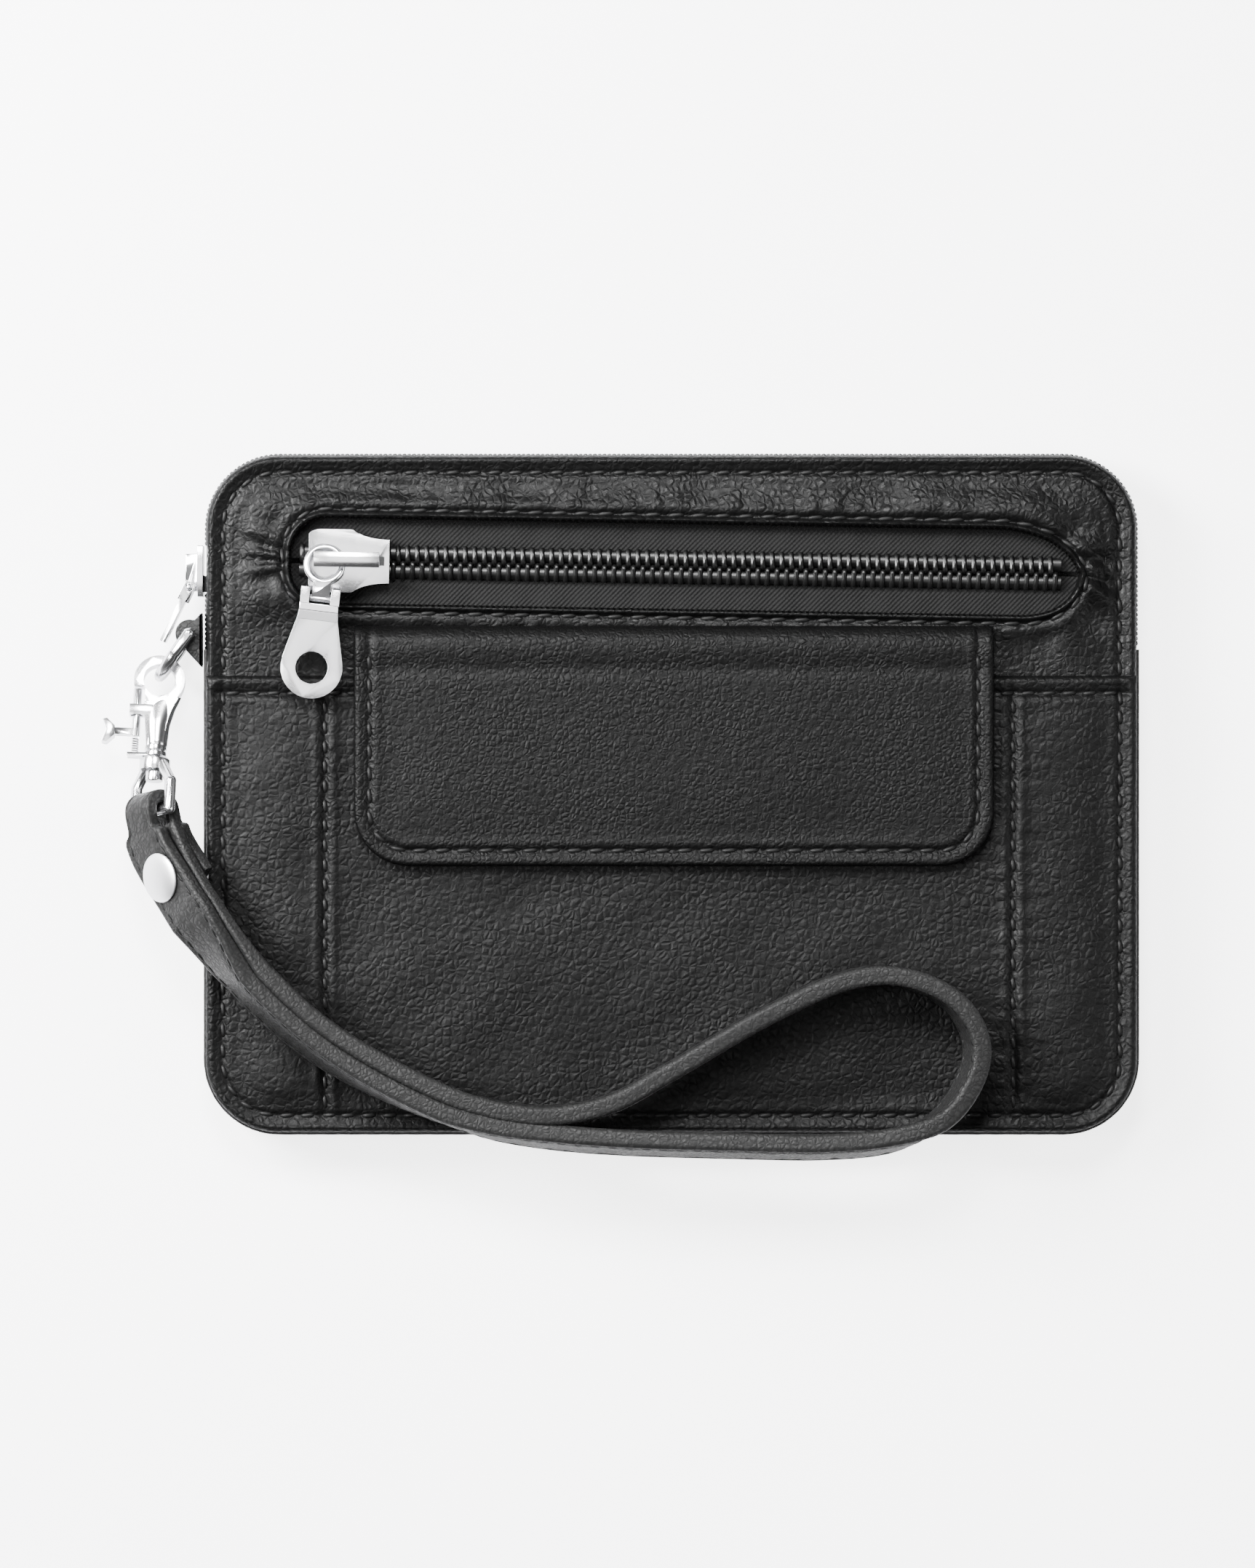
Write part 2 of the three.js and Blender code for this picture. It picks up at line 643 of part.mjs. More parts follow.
// Where the strap's middle is, and which way it points, a distance from the bar in that plane.
function inPlane(distance, offset) {
  const { straight, bend } = strap;
  const along = Math.min(distance, straight);
  const turnedBy = (bendAngle * Math.min(Math.max(distance - straight, 0), bend)) / bend;
  const radius = bend / bendAngle;
  const past = Math.max(distance - straight - bend, 0);
  const point = eyeBar.clone().addScaledVector(leaving, along + radius * Math.sin(turnedBy));
  point.addScaledVector(barDirection, radius * (1 - Math.cos(turnedBy)));
  const direction = leaving.clone().multiplyScalar(Math.cos(turnedBy));
  direction.addScaledVector(barDirection, Math.sin(turnedBy));
  point.addScaledVector(direction, past).addScaledVector(strapFace, offset);
  return { point, across: strapFace.clone().cross(direction) };
}

// The free route over the wallet's front, out along the upper strand, round the loop and back.
const outward = [[-70.6, -31.1], [-59.3, -41.0], [-40.0, -51.0], [-30.1, -54.0], [-20.4, -55.0], [-10.3, -52.9],
  [-0.6, -47.7], [16.5, -37.8], [29.4, -32.0], [36.8, -31.0], [43.4, -32.6], [48.6, -36.0], [51.6, -40.8],
  [52.1, -45.4], [49.9, -51.1], [45.7, -55.9], [37.8, -59.2], [26.6, -60.4], [10.0, -60.2]];
const homeward = [[-9.1, -59.6], [-20.4, -58.7], [-30.0, -57.3], [-38.3, -54.9], [-48.5, -50.6], [-58.0, -45.4],
  [-66.0, -39.3], [-73.6, -31.9]];

function strapStations() {
  const { endAt, planeEnd, pitch, tailAt, height } = strap;
  const stations = [];
  const inPlaneFrom = (distances, offset) => distances.forEach((d) => stations.push(inPlane(d, offset)));
  const free = (points) =>
    points.forEach(([x, y]) => {
      // a slight outward lean at the far end of the loop
      const lean = THREE.MathUtils.smoothstep(x, 20, 50) * 0.18;
      const across = new THREE.Vector3(lean, 0, 1).normalize();
      stations.push({ point: new THREE.Vector3(x, y, height), across });
    });
  inPlaneFrom([endAt, 6, 9, 12.3, 16, planeEnd], 0);
  free(outward);
  free(homeward);
  inPlaneFrom([planeEnd, 16, 12.3, 9, 6, 3, 1], pitch);
  for (let i = 0; i <= 8; i++) {
    const angle = (Math.PI * i) / 8;
    const point = eyeBar.clone();
    point.addScaledVector(strapFace, pitch * Math.cos(angle));
    point.addScaledVector(leaving, -pitch * Math.sin(angle));
    stations.push({ point, across: barDirection.clone() });
  }
  inPlaneFrom([1, 3, 6, 9, 12.3, tailAt], -pitch);
  return stations;
}

// A curve through the stations whose frames keep the strap's width along the stations' own.
class StrapPath extends THREE.CatmullRomCurve3 {
  constructor(stations) {
    super(stations.map((station) => station.point), false, "centripetal");
    this.across = stations.map((station) => station.across);
  }
  computeFrenetFrames(steps) {
    const tangents = [];
    const normals = [];
    const binormals = [];
    for (let i = 0; i <= steps; i++) {
      const t = this.getUtoTmapping(i / steps);
      const place = t * (this.across.length - 1);
      const index = Math.min(Math.floor(place), this.across.length - 2);
      const across = this.across[index].clone().lerp(this.across[index + 1], place - index);
      const tangent = this.getTangent(t);
      const normal = tangent.clone().cross(across).normalize();
      tangents.push(tangent);
      normals.push(normal);
      binormals.push(tangent.clone().cross(normal));
    }
    return { tangents, normals, binormals };
  }
}

function strapGeometry() {
  const { width, thickness, steps, tongue, rivetAt } = strap;
  const path = new StrapPath(strapStations());
  path.arcLengthDivisions = 2000;
  const section = new THREE.Shape();
  section.moveTo(-thickness / 2, -width / 2);
  section.lineTo(thickness / 2, -width / 2);
  section.lineTo(thickness / 2, width / 2);
  section.lineTo(-thickness / 2, width / 2);
  section.closePath();
  const band = new THREE.ExtrudeGeometry(section, { steps, extrudePath: path });

  // the tongue: the strap is narrower where it passes through the eye
  const basis = new THREE.Matrix4().makeBasis(barDirection, leaving, barDirection.clone().cross(leaving));
  const trims = [-1, 1].map((side) => {
    const edge = [side * tongue, side * (tongue + 4)].sort((a, b) => a - b);
    const trim = block(edge[0], edge[1], -7, strap.endAt - 0.1, -6, 6);
    return trim.applyMatrix4(basis).translate(...eyeBar.toArray());
  });
  const centre = inPlane(rivetAt, 0).point;
  const from = centre.clone().addScaledVector(strapFace, -6).toArray();
  const to = centre.clone().addScaledVector(strapFace, 6).toArray();
  return cut(band, ...trims, rod(from, to, 1.5, 14));
}

function strapGroup() {
  const group = new THREE.Group();
  piece(group, "wrist_strap", strapGeometry(), "leather");
  // the rivet's own frame: Y out of the outer layer
  const face = strap.pitch + strap.thickness / 2 + gap;
  const cap = turned([[0, -face - 0.2], [1.1, -face - 0.2], [1.1, face], [4.25, face], [4.25, face + 0.35],
    [3.2, face + 0.75], [1.6, face + 0.95], [0, face + 1.0]], 28);
  const back = turned([[0, -face - 0.8], [2.9, -face - 0.65], [3.2, -face - 0.35], [3.2, -face], [1.45, -face],
    [1.45, -face - 0.45], [0, -face - 0.45]], 28);
  const at = inPlane(strap.rivetAt, 0).point;
  const turn = new THREE.Quaternion().setFromUnitVectors(new THREE.Vector3(0, 1, 0), strapFace);
  for (const [name, geometry] of [["rivet_cap", cap], ["rivet_back", back]]) {
    piece(group, name, geometry.applyQuaternion(turn).translate(...at.toArray()), "nickel");
  }
  return group;
}

wallet.add(shell(), front(), flapGroup());
piece(wallet, "snap_stud", snapStud(), "nickel");
wallet.add(frontPull(), mainSlider(), hardware(), strapGroup());

export default wallet;
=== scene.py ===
import json
import math

import bpy
import numpy as np
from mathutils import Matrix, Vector


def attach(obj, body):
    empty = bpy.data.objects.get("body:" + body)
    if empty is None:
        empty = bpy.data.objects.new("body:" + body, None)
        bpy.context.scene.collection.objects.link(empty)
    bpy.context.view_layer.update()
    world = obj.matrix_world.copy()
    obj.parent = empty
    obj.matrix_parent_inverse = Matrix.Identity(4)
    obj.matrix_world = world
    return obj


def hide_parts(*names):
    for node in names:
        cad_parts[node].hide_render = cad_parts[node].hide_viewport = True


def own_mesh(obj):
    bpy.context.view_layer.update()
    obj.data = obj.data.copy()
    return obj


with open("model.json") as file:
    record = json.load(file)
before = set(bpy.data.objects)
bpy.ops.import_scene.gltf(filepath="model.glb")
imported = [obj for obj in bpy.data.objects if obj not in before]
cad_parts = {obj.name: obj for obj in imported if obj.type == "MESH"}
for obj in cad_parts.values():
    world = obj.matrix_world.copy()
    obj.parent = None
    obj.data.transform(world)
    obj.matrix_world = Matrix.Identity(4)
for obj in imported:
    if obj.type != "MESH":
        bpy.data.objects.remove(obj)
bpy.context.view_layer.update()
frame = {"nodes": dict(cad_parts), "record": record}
metre = 0.001  # lengths below are in millimetres; one of them in metres
joints = {joint["name"]: joint for joint in frame["record"]["behaviour"]["joints"]}
print("frame loaded,", len(frame["nodes"]), "CAD nodes")


# Where a joint sits, in millimetres.
def jointPlace(name):
    return np.array(joints[name]["pos_m"]) / metre


# The direction opposite to a joint's axis, at length 1.
def againstJoint(name):
    axis = -np.array(joints[name]["axis"])
    return axis / np.linalg.norm(axis)


# Smooth step: 0 below low, 1 above high, 3t^2 - 2t^3 between.
def ease(x, low, high):
    t = np.clip((np.asarray(x, float) - low) / (high - low), 0, 1)
    return t * t * (3 - 2 * t)


# Bell curve: exp(-((x - centre) / width)^2).
def bell(x, centre, width):
    return np.exp(-(((x - centre) / width) ** 2))


# Soft unevenness between about -1 and 1: the mean of plane waves in random directions.
def rumple(x, y, seed, size, count=14):
    dice = np.random.default_rng(seed)
    total = 0
    for _ in range(count):
        heading = dice.uniform(0, math.tau)
        wave = math.tau / (size * dice.uniform(0.7, 1.5))
        along = x * math.cos(heading) + y * math.sin(heading)
        total = total + np.sin(along * wave + dice.uniform(0, math.tau))
    return total / math.sqrt(count)


# Positions from 0 to length: fine steps within edge of both ends, coarse ones between.
def spaced(length, edge=4.6, fine=0.3, coarse=0.75):
    near = np.concatenate([[0, 0.06, 0.16, 0.3], np.arange(0.5, edge, fine)])
    middle = np.linspace(edge, length - edge, max(2, int((length - 2 * edge) / coarse)))
    return np.concatenate([near, middle, (length - near)[::-1]])


# Vectors in rows, each brought to length 1.
def unit(rows):
    return rows / np.linalg.norm(rows, axis=1)[:, None]


# The distance run along a polyline at each of its points.
def runAlong(line):
    return np.concatenate([[0], np.cumsum(np.linalg.norm(np.diff(line, axis=0), axis=1))])


# A polyline's points at given distances along it.
def pointsAt(line, run, at):
    return np.column_stack([np.interp(at, run, column) for column in line.T])


# Points of an arc about a centre, between two directions in degrees.
def arc(centre, radius, start, end, count):
    turn = np.radians(np.linspace(start, end, count))
    return np.column_stack([centre[0] + radius * np.cos(turn), centre[1] + radius * np.sin(turn)])


# ---- meshes from arrays

# The mesh of a piece from points in millimetres, its four-sided faces and its end faces. The
# volume, the sum of a . (b x c) / 6 over its triangles, says which way the faces are to look.
def makePiece(name, points, quads, caps, look, body, slot, stands=()):
    triangles = np.concatenate([quads[:, [0, 1, 2]], quads[:, [0, 2, 3]]])
    for cap in caps:
        fan = np.column_stack([np.full(len(cap) - 2, cap[0]), cap[1:-1], cap[2:]])
        triangles = np.concatenate([triangles, fan])
    middle = points.mean(0)
    a, b, c = (points[triangles[:, i]] - middle for i in range(3))
    if np.einsum("ij,ij->i", a, np.cross(b, c)).sum() < 0:
        quads = quads[:, ::-1]
        caps = [cap[::-1] for cap in caps]
    corners = np.concatenate([quads.ravel(), *caps]).astype(np.int32)
    sizes = np.concatenate([np.full(len(quads), 4), [len(cap) for cap in caps]]).astype(np.int32)
    starts = np.concatenate([[0], np.cumsum(sizes)[:-1]]).astype(np.int32)
    mesh = bpy.data.meshes.new(name)
    mesh.vertices.add(len(points))
    mesh.loops.add(len(corners))
    mesh.polygons.add(len(sizes))
    mesh.vertices.foreach_set("co", (points * metre).astype(np.float32).ravel())
    mesh.loops.foreach_set("vertex_index", corners)
    mesh.polygons.foreach_set("loop_start", starts)
    mesh.polygons.foreach_set("use_smooth", np.ones(len(sizes), bool))
    mesh.update(calc_edges=True)
    mesh.validate()
    mesh.set_sharp_from_angle(angle=math.radians(50))
    mesh.materials.append(look)
    made = bpy.data.objects.new(name, mesh)
    bpy.context.scene.collection.objects.link(made)
    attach(made, body)
    if stands:
        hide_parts(*stands)
    return made


# Points, faces and end faces of a skin through closed loops, an array rows x columns x 3. A ring
# joins its last loop to its first; otherwise each end is closed by one face.
def skin(loops, ring=False):
    rows, columns = loops.shape[:2]
    i = np.arange(rows if ring else rows - 1)[:, None]
    j = np.arange(columns)[None, :]
    after, beside = (i + 1) % rows, (j + 1) % columns
    near, far = i * columns, after * columns
    quads = np.stack([near + j, near + beside, far + beside, far + j], -1)
    caps = [] if ring else [np.arange(columns)[::-1], np.arange(columns) + (rows - 1) * columns]
    return loops.reshape(-1, 3), quads.reshape(-1, 4), caps


# Several (points, quads, caps) in one.
def gathered(parts):
    points, quads, caps, shift = [], [], [], 0
    for somePoints, someQuads, someCaps in parts:
        points.append(somePoints)
        quads.append(someQuads + shift)
        caps.extend(cap + shift for cap in someCaps)
        shift += len(somePoints)
    return np.concatenate(points), np.concatenate(quads), caps


# Copies of one small loft, an array rows x columns x 3 in a frame of its own, at each place along
# axes x, y and z: point = place + x * px + y * py + z * pz.
def copies(loft, places, xAxes, yAxes, zAxes):
    points, quads, caps = skin(loft)
    spread = (
        places[:, None]
        + points[None, :, :1] * xAxes[:, None]
        + points[None, :, 1:2] * yAxes[:, None]
        + points[None, :, 2:] * zAxes[:, None]
    )
    shifts = np.arange(len(places)) * len(points)
    allQuads = (quads[None] + shifts[:, None, None]).reshape(-1, 4)
    allCaps = [cap + shift for shift in shifts for cap in caps]
    return spread.reshape(-1, 3), allQuads, allCaps


# A leaf of leather: every row is a closed loop, the upper face from left to right and the lower
# one back. reach(y) gives the left and right ends of the row at y.
def leaf(rowsY, reach, top, bottom, width, lowColumns=24, lines=(), **spacing):
    columns = spaced(width, **spacing)
    fineReach, fineStep = 2.4, 0.24  # finer columns beside a stitched line
    fine = np.arange(-fineReach, fineReach + 0.1, fineStep)
    for line in lines:
        columns = columns[np.abs(columns - line) > fineReach + 0.2]
        columns = np.sort(np.concatenate([columns, line + fine]))
    share = columns / width
    back = np.linspace(1, 0, lowColumns)
    left, right = reach(rowsY)
    x = left[:, None] + (right - left)[:, None] * share
    xBack = left[:, None] + (right - left)[:, None] * back
    y = np.repeat(rowsY[:, None], len(share), 1)
    yBack = np.repeat(rowsY[:, None], lowColumns, 1)
    upper = np.stack([x, y, top(x, y)], -1)
    lower = np.stack([xBack, yBack, bottom(xBack, yBack)], -1)
    return np.concatenate([upper, lower], 1)


# How full a rounded edge is at a distance inside it: sqrt(1 - (1 - d / r)^2), never quite 0.
def fullness(inside, radius):
    return 0.08 + 0.92 * np.sqrt(1 - (1 - np.clip(inside / radius, 0, 1)) ** 2)


# Points at equal steps along a polyline, with the unit directions there.
def paced(line, pitch, closed=False):
    if closed:
        line = np.concatenate([line, line[:1]])
    run = runAlong(line)
    count = max(2, round(run[-1] / pitch))
    at = (np.arange(count) + 0.5) * run[-1] / count
    near = 0.3  # the direction is taken between the points this far ahead and behind
    return pointsAt(line, run, at), unit(pointsAt(line, run, at + near) - pointsAt(line, run, at - near))


# One stitch: a short round thread, fuller in its middle, whose ends dip into the leather.
def stitchLoft(length, radius, sides=7):
    along = np.array([-0.5, -0.44, -0.22, 0.22, 0.44, 0.5]) * length
    girth = np.array([0.3, 0.75, 1, 1, 0.75, 0.3]) * radius
    dip = np.array([-1.6, -0.6, 0.1, 0.1, -0.6, -1.6]) * radius
    turn = np.arange(sides) * math.tau / sides
    x = np.repeat(along[:, None], sides, 1)
    y = girth[:, None] * np.cos(turn)
    z = dip[:, None] + 0.8 * girth[:, None] * np.sin(turn)
    return np.stack([x, y, z], -1)


# A seam: stitches along a line, each turned a little the same way as twisted thread lies.
def seam(line, pitch, closed=False, length=0.74, radius=0.36, up=(0.0, 0.0, 1.0)):
    places, heading = paced(line, pitch, closed)
    up = np.broadcast_to(np.array(up, float), places.shape)
    side = unit(np.cross(up, heading))
    lift = np.cross(heading, side)
    slant = 0.09
    loft = stitchLoft(pitch * length, radius)
    return copies(loft, places, heading + side * slant, side - heading * slant, lift)


# ---- materials

# A socket of a material's node tree, so that node maths reads as ordinary arithmetic.
class Value:
    def __init__(self, tree, socket):
        self.tree, self.socket = tree, socket

    def maths(self, operation, first, second):
        node = self.tree.nodes.new("ShaderNodeMath")
        node.operation = operation
        for place, value in enumerate((first, second)):
            if isinstance(value, Value):
                self.tree.links.new(value.socket, node.inputs[place])
            else:
                node.inputs[place].default_value = value
        return Value(self.tree, node.outputs[0])

    def __add__(self, other):
        return self.maths("ADD", self, other)

    def __sub__(self, other):
        return self.maths("SUBTRACT", self, other)

    def __rsub__(self, other):
        return self.maths("SUBTRACT", other, self)

    def __mul__(self, other):
        return self.maths("MULTIPLY", self, other)

    def __pow__(self, other):
        return self.maths("POWER", self, other)

    __radd__, __rmul__ = __add__, __mul__

    def ramp(self, low, high):
        return self.maths("MINIMUM", self.maths("MAXIMUM", (self - low) * (1 / (high - low)), 0), 1)


# A material of one Principled shader, with a method for every other node.
class Look:
    def __init__(self, name, **constants):
        self.material = bpy.data.materials.new(name)
        self.material.use_nodes = True
        self.tree = self.material.node_tree
        self.shader = self.tree.nodes["Principled BSDF"]
        for key, value in constants.items():
            words = {"ior": "IOR", "specular": "Specular IOR Level"}
            label = words.get(key) or "".join(" " + c if c.isupper() else c for c in key).title()
            if label == "Base Color":
                value = (value, value, value * 1.02, 1)
            self.shader.inputs[label].default_value = value
        self.place = self.node("ShaderNodeTexCoord", {}, {}, "Object")

    def node(self, kind, settings, values, output=0):
        node = self.tree.nodes.new(kind)
        for key, value in settings.items():
            setattr(node, key, value)
        for key, value in values.items():
            if isinstance(value, Value):
                self.tree.links.new(value.socket, node.inputs[key])
            else:
                node.inputs[key].default_value = value
        return Value(self.tree, node.outputs[output])

    def noise(self, size, detail=3.0, roughness=0.55):
        scale = 1 / (size * metre)
        values = {"Vector": self.place, "Scale": scale, "Detail": detail, "Roughness": roughness}
        return self.node("ShaderNodeTexNoise", {}, values)

    def use(self, label, value):
        self.tree.links.new(value.socket, self.shader.inputs[label])

    def grey(self, shade):
        parts = {0: shade, 1: shade, 2: shade}
        return self.node("ShaderNodeCombineColor", {}, parts)

    def relief(self, height, depth):
        return self.node("ShaderNodeBump", {}, {"Height": height, "Distance": depth * metre})


# Black pebbled leather: cells parted by fine creases, small cells broken up by larger ones and by
# noise, with pores over them. Its colour is darkened in the creases as painted shade.
leatherLooks = {
    "leather_pocket": {"tone": 0.0027, "grain": 1.25, "depth": 0.12, "rough": 0.41},
    "leather_front": {"tone": 0.0025, "grain": 1.2, "depth": 0.1, "rough": 0.33},
    "leather_flap": {"tone": 0.0018, "grain": 0.95, "depth": 0.11, "rough": 0.42},
    # a much lighter copy of the same black leather, for the strap, the side band and the side tab, which
    # stand on edge out of the light from above: painted light
    "leather_painted_lighter": {"tone": 0.016, "grain": 0.9, "depth": 0.09, "rough": 0.36},
    "leather_edge": {"tone": 0.003, "grain": 0.6, "depth": 0.03, "rough": 0.36},
}


def leatherLook(name, tone, grain, depth, rough):
    look = Look(name, ior=1.5, specular=0.12)
    values = {"Vector": look.place, "Scale": 1 / (grain * 2 * metre)}
    waver = look.node("ShaderNodeTexNoise", {}, values, "Color")
    bent = look.node(
        "ShaderNodeVectorMath",
        {"operation": "MULTIPLY_ADD"},
        {0: waver, 1: (grain * 0.9 * metre,) * 3, 2: look.place},
    )
    creases = []
    for size in (grain, grain * 2.3):
        values = {"Vector": bent, "Scale": 1 / (size * metre)}
        edge = look.node("ShaderNodeTexVoronoi", {"feature": "DISTANCE_TO_EDGE"}, values)
        creases.append(edge.ramp(0.0, 0.3))
    pores = look.noise(grain * 0.25, 2)
    patches = look.noise(11, 3)
    strength = patches.ramp(0.32, 0.62)
    folds = look.noise(grain * 1.2, 4)
    height = creases[0] * (0.3 + strength * 0.5) + creases[1] * 0.4 + folds * 0.75 + pores * 0.2
    look.use("Normal", look.relief(height, depth))
    hollow = 1 - creases[0]
    look.use("Roughness", rough + hollow * 0.14 + (patches - 0.5) * 0.16)
    # the colour darker in the creases, by the hollow mask, is painted shade; the patches are the hide's own
    # uneven tone
    look.use("Base Color", look.grey((patches * 0.5 + 0.75) * (1 - hollow * 0.4) * tone))
    return look.material


# Cloth: two crossed sets of ribs for the yarns, with a little fuzz over them. The colour is lighter on the
# ribs and darker between them, as painted shade.
def clothLook(name, tone, yarn, depth, slant=45.0):
    look = Look(name, sheenWeight=0.02, sheenRoughness=0.5, specular=0.25)
    waves = []
    values = {"Scale": 1 / (yarn * metre * 3.2), "Distortion": 0.6, "Detail": 1.0}
    for turn in (slant, slant + 90):
        turned = look.node(
            "ShaderNodeVectorRotate",
            {"rotation_type": "Z_AXIS"},
            {"Vector": look.place, "Angle": math.radians(turn)},
        )
        settings = {"bands_direction": "X"}
        waves.append(look.node("ShaderNodeTexWave", settings, {"Vector": turned, **values}))
    fuzz = look.noise(yarn * 0.6, 2)
    weave = waves[0] * 0.7 + waves[1] * 0.3
    look.use("Normal", look.relief(weave + fuzz * 0.4, depth))
    look.use("Roughness", 0.75 + fuzz * 0.15)
    # lighter on the rib tops and darker between them, following the relief: painted shade
    look.use("Base Color", look.grey((weave * 0.5 + 0.6) * tone))
    return look.material


# Polished metal plating: nearly even, with faint wipes in its roughness.
def metalLook(name, tone, rough):
    look = Look(name, metallic=1.0, baseColor=tone)
    wipes = look.noise(6, 4)
    dust = look.noise(0.5, 3)
    look.use("Roughness", rough + (wipes - 0.4) * 0.12)
    look.use("Normal", look.relief(wipes + dust * 0.05, 0.05))
    return look.material


# Thread and nylon: one grey, a little mottled.
def plainLook(name, tone, rough, specular=0.5):
    look = Look(name, specular=specular)
    mottle = look.noise(1.2, 3)
    look.use("Roughness", rough + (mottle - 0.5) * 0.12)
    look.use("Base Color", look.grey((mottle * 0.6 + 0.7) * tone))
    return look.material


looks = {name: leatherLook(name, **values) for name, values in leatherLooks.items()}
looks["twill"] = clothLook("twill_tape", 0.002, 0.6, 0.16)
looks["lining"] = clothLook("lining_cloth", 0.016, 0.3, 0.04, 20)
looks["thread"] = plainLook("black_thread", 0.0035, 0.52, 0.18)
looks["coil"] = plainLook("black_nylon", 0.003, 0.32, 0.3)
looks["nickel"] = metalLook("bright_nickel", 0.86, 0.18)
looks["satin_nickel"] = metalLook("satin_nickel", 0.9, 0.42)
# a dark nickel that stands in for the shade in the pull tab's recessed groove: painted shade
looks["painted_groove_shade_nickel"] = metalLook("painted_groove_shade_nickel", 0.3, 0.4)
looks["steel"] = metalLook("spring_steel", 0.55, 0.28)
print("materials made:", len(looks))


# ---- the body: panels, gusset and zip band

body = {"halfX": 80.0, "halfY": 58.2, "corner": 12.5, "seamY": 25.0, "proud": 0.6}
rim = {"round": 0.7, "lip": 0.95, "groove": 2.95, "puffFrom": 3.3, "puffTo": 10.0}


# Distance inside a rounded rectangle: radius - |corner part| - the straight part.
def insideBody(x, y):
    qx = np.abs(x) - body["halfX"] + body["corner"]
    qy = np.abs(y) - body["halfY"] + body["corner"]
    outside = np.hypot(np.maximum(qx, 0), np.maximum(qy, 0)) + np.minimum(np.maximum(qx, qy), 0)
    return body["corner"] - outside


# The left and right ends of the body's row at y: the corner arcs, x = centre + sqrt(r^2 - dy^2).
def bodyReach(y):
    over = np.clip(np.abs(y) - (body["halfY"] - body["corner"]), 0, body["corner"])
    right = body["halfX"] - body["corner"] + np.sqrt(body["corner"] ** 2 - over**2)
    return -right, right


# The body's outline moved outward by grow, from the middle of the right side round by the top.
# Every side and corner keeps its own number of points, so that two outlines match point by point.
def bodyOutline(grow=0.0, sideSteps=(90, 240), cornerSteps=20):
    radius = body["corner"] + grow
    x = body["halfX"] - body["corner"]
    y = body["halfY"] - body["corner"]
    parts = []
    corners = [(x, y, 0), (-x, y, 90), (-x, -y, 180), (x, -y, 270)]
    for place, (cx, cy, start) in enumerate(corners):
        parts.append(arc((cx, cy), radius, start, start + 90, cornerSteps))
        after = corners[(place + 1) % 4]
        end = math.radians(after[2])
        last = parts[-1][-1]
        first = np.array([after[0] + radius * math.cos(end), after[1] + radius * math.sin(end)])
        count = sideSteps[1] if place % 2 == 0 else sideSteps[0]
        share = np.linspace(0, 1, count + 1)[1:-1, None]
        parts.append(last + (first - last) * share)
    return np.concatenate(parts)


# The rim's height over its panel: a rounded lip, a stitched groove and a soft swell inside it.
def rimHeight(inside, lip=0.36, groove=0.34, puff=0.55):
    edge = lip * bell(inside, rim["lip"], 0.7) - groove * bell(inside, rim["groove"], 0.45)
    return edge + 0.1 * bell(inside, 4.2, 0.8) + puff * ease(inside, rim["puffFrom"], rim["puffTo"])


zipFrame = {"centre": (1.0, 39.0), "turn": math.radians(-1.0), "from": -65.0, "to": 66.0, "pitch": 1.65}


# Points along and across the front zip, in the wallet's plane.
def fromZip(x, y):
    c, s = math.cos(zipFrame["turn"]), math.sin(zipFrame["turn"])
    return zipFrame["centre"][0] + x * c - y * s, zipFrame["centre"][1] + x * s + y * c


def toZip(x, y):
    c, s = math.cos(zipFrame["turn"]), math.sin(zipFrame["turn"])
    dx, dy = x - zipFrame["centre"][0], y - zipFrame["centre"][1]
    return dx * c + dy * s, -dx * s + dy * c


# A quadratic curve through its end points, pulled to the middle one.
def pulled(a, b, c, count):
    t = np.linspace(0, 1, count)[:, None]
    a, b, c = (np.array(p, float) for p in (a, b, c))
    return (1 - t) ** 2 * a + 2 * t * (1 - t) * b + t**2 * c


# The window in the front panel, in the zip's own directions. marks are the distances run along its
# edge at which the body outline's corners and sides are matched.
zipWindow = {
    "left": -66.4, "right": 69.0, "low": -7.2, "high": 7.4, "radius": 6.0, "taper": 9.0,
    "marks": [0.0, 8.0, 139.0, 146.0, 153.0, 160.0, 284.0],
}


# The zip window's edge, from the middle of the right end round by the top: a round left end and
# a tapering right one. Its point counts match the body outline's.
def windowOutline(sideSteps=(90, 240), cornerSteps=20):
    w = zipWindow
    right, low, high, taper, radius = w["right"], w["low"], w["high"], w["taper"], w["radius"]
    turnX = w["left"] + radius
    upperRight = pulled((right, 0), (right - 2.5, high - 1), (right - taper - 4, high), 400)
    lowerRight = pulled((right - taper, low), (right - 1, low + 0.6), (right, 0), 400)
    upperLeft = arc((turnX, high - radius), radius, 90, 180, 200)
    lowerLeft = arc((turnX, low + radius), radius, 180, 270, 200)
    ring = np.concatenate([upperRight, upperLeft, lowerLeft, lowerRight[:-1]])
    run = runAlong(ring)
    marks = w["marks"] + [run[-1]]
    short, long = sideSteps[0] - 1, sideSteps[1] - 1
    counts = [cornerSteps, long, cornerSteps, short, cornerSteps, long, cornerSteps + short]
    spans = zip(marks[:-1], marks[1:], counts)
    at = np.concatenate([np.linspace(a, b, count, endpoint=False) for a, b, count in spans])
    return pointsAt(ring, run, at)


# Unit normals of a closed outline, pointing out.
def normalsOf(ring):
    along = unit(np.roll(ring, -1, 0) - np.roll(ring, 1, 0))
    return np.column_stack([along[:, 1], -along[:, 0]])


windowRing = windowOutline()
windowNormals = normalsOf(windowRing)
windowWorld = np.column_stack(fromZip(windowRing[:, 0], windowRing[:, 1]))


# Distance from the window's edge, the least over the points of the edge.
def fromWindow(x, y):
    flat = np.column_stack([np.ravel(x), np.ravel(y)])
    nearest = [
        np.sqrt(((part[:, None] - windowWorld[None, ::2]) ** 2).sum(-1).min(1))
        for part in np.array_split(flat, max(1, len(flat) // 4000))
    ]
    return np.concatenate(nearest).reshape(np.shape(x))


frontLevel = {"low": 10.0, "high": 11.05}


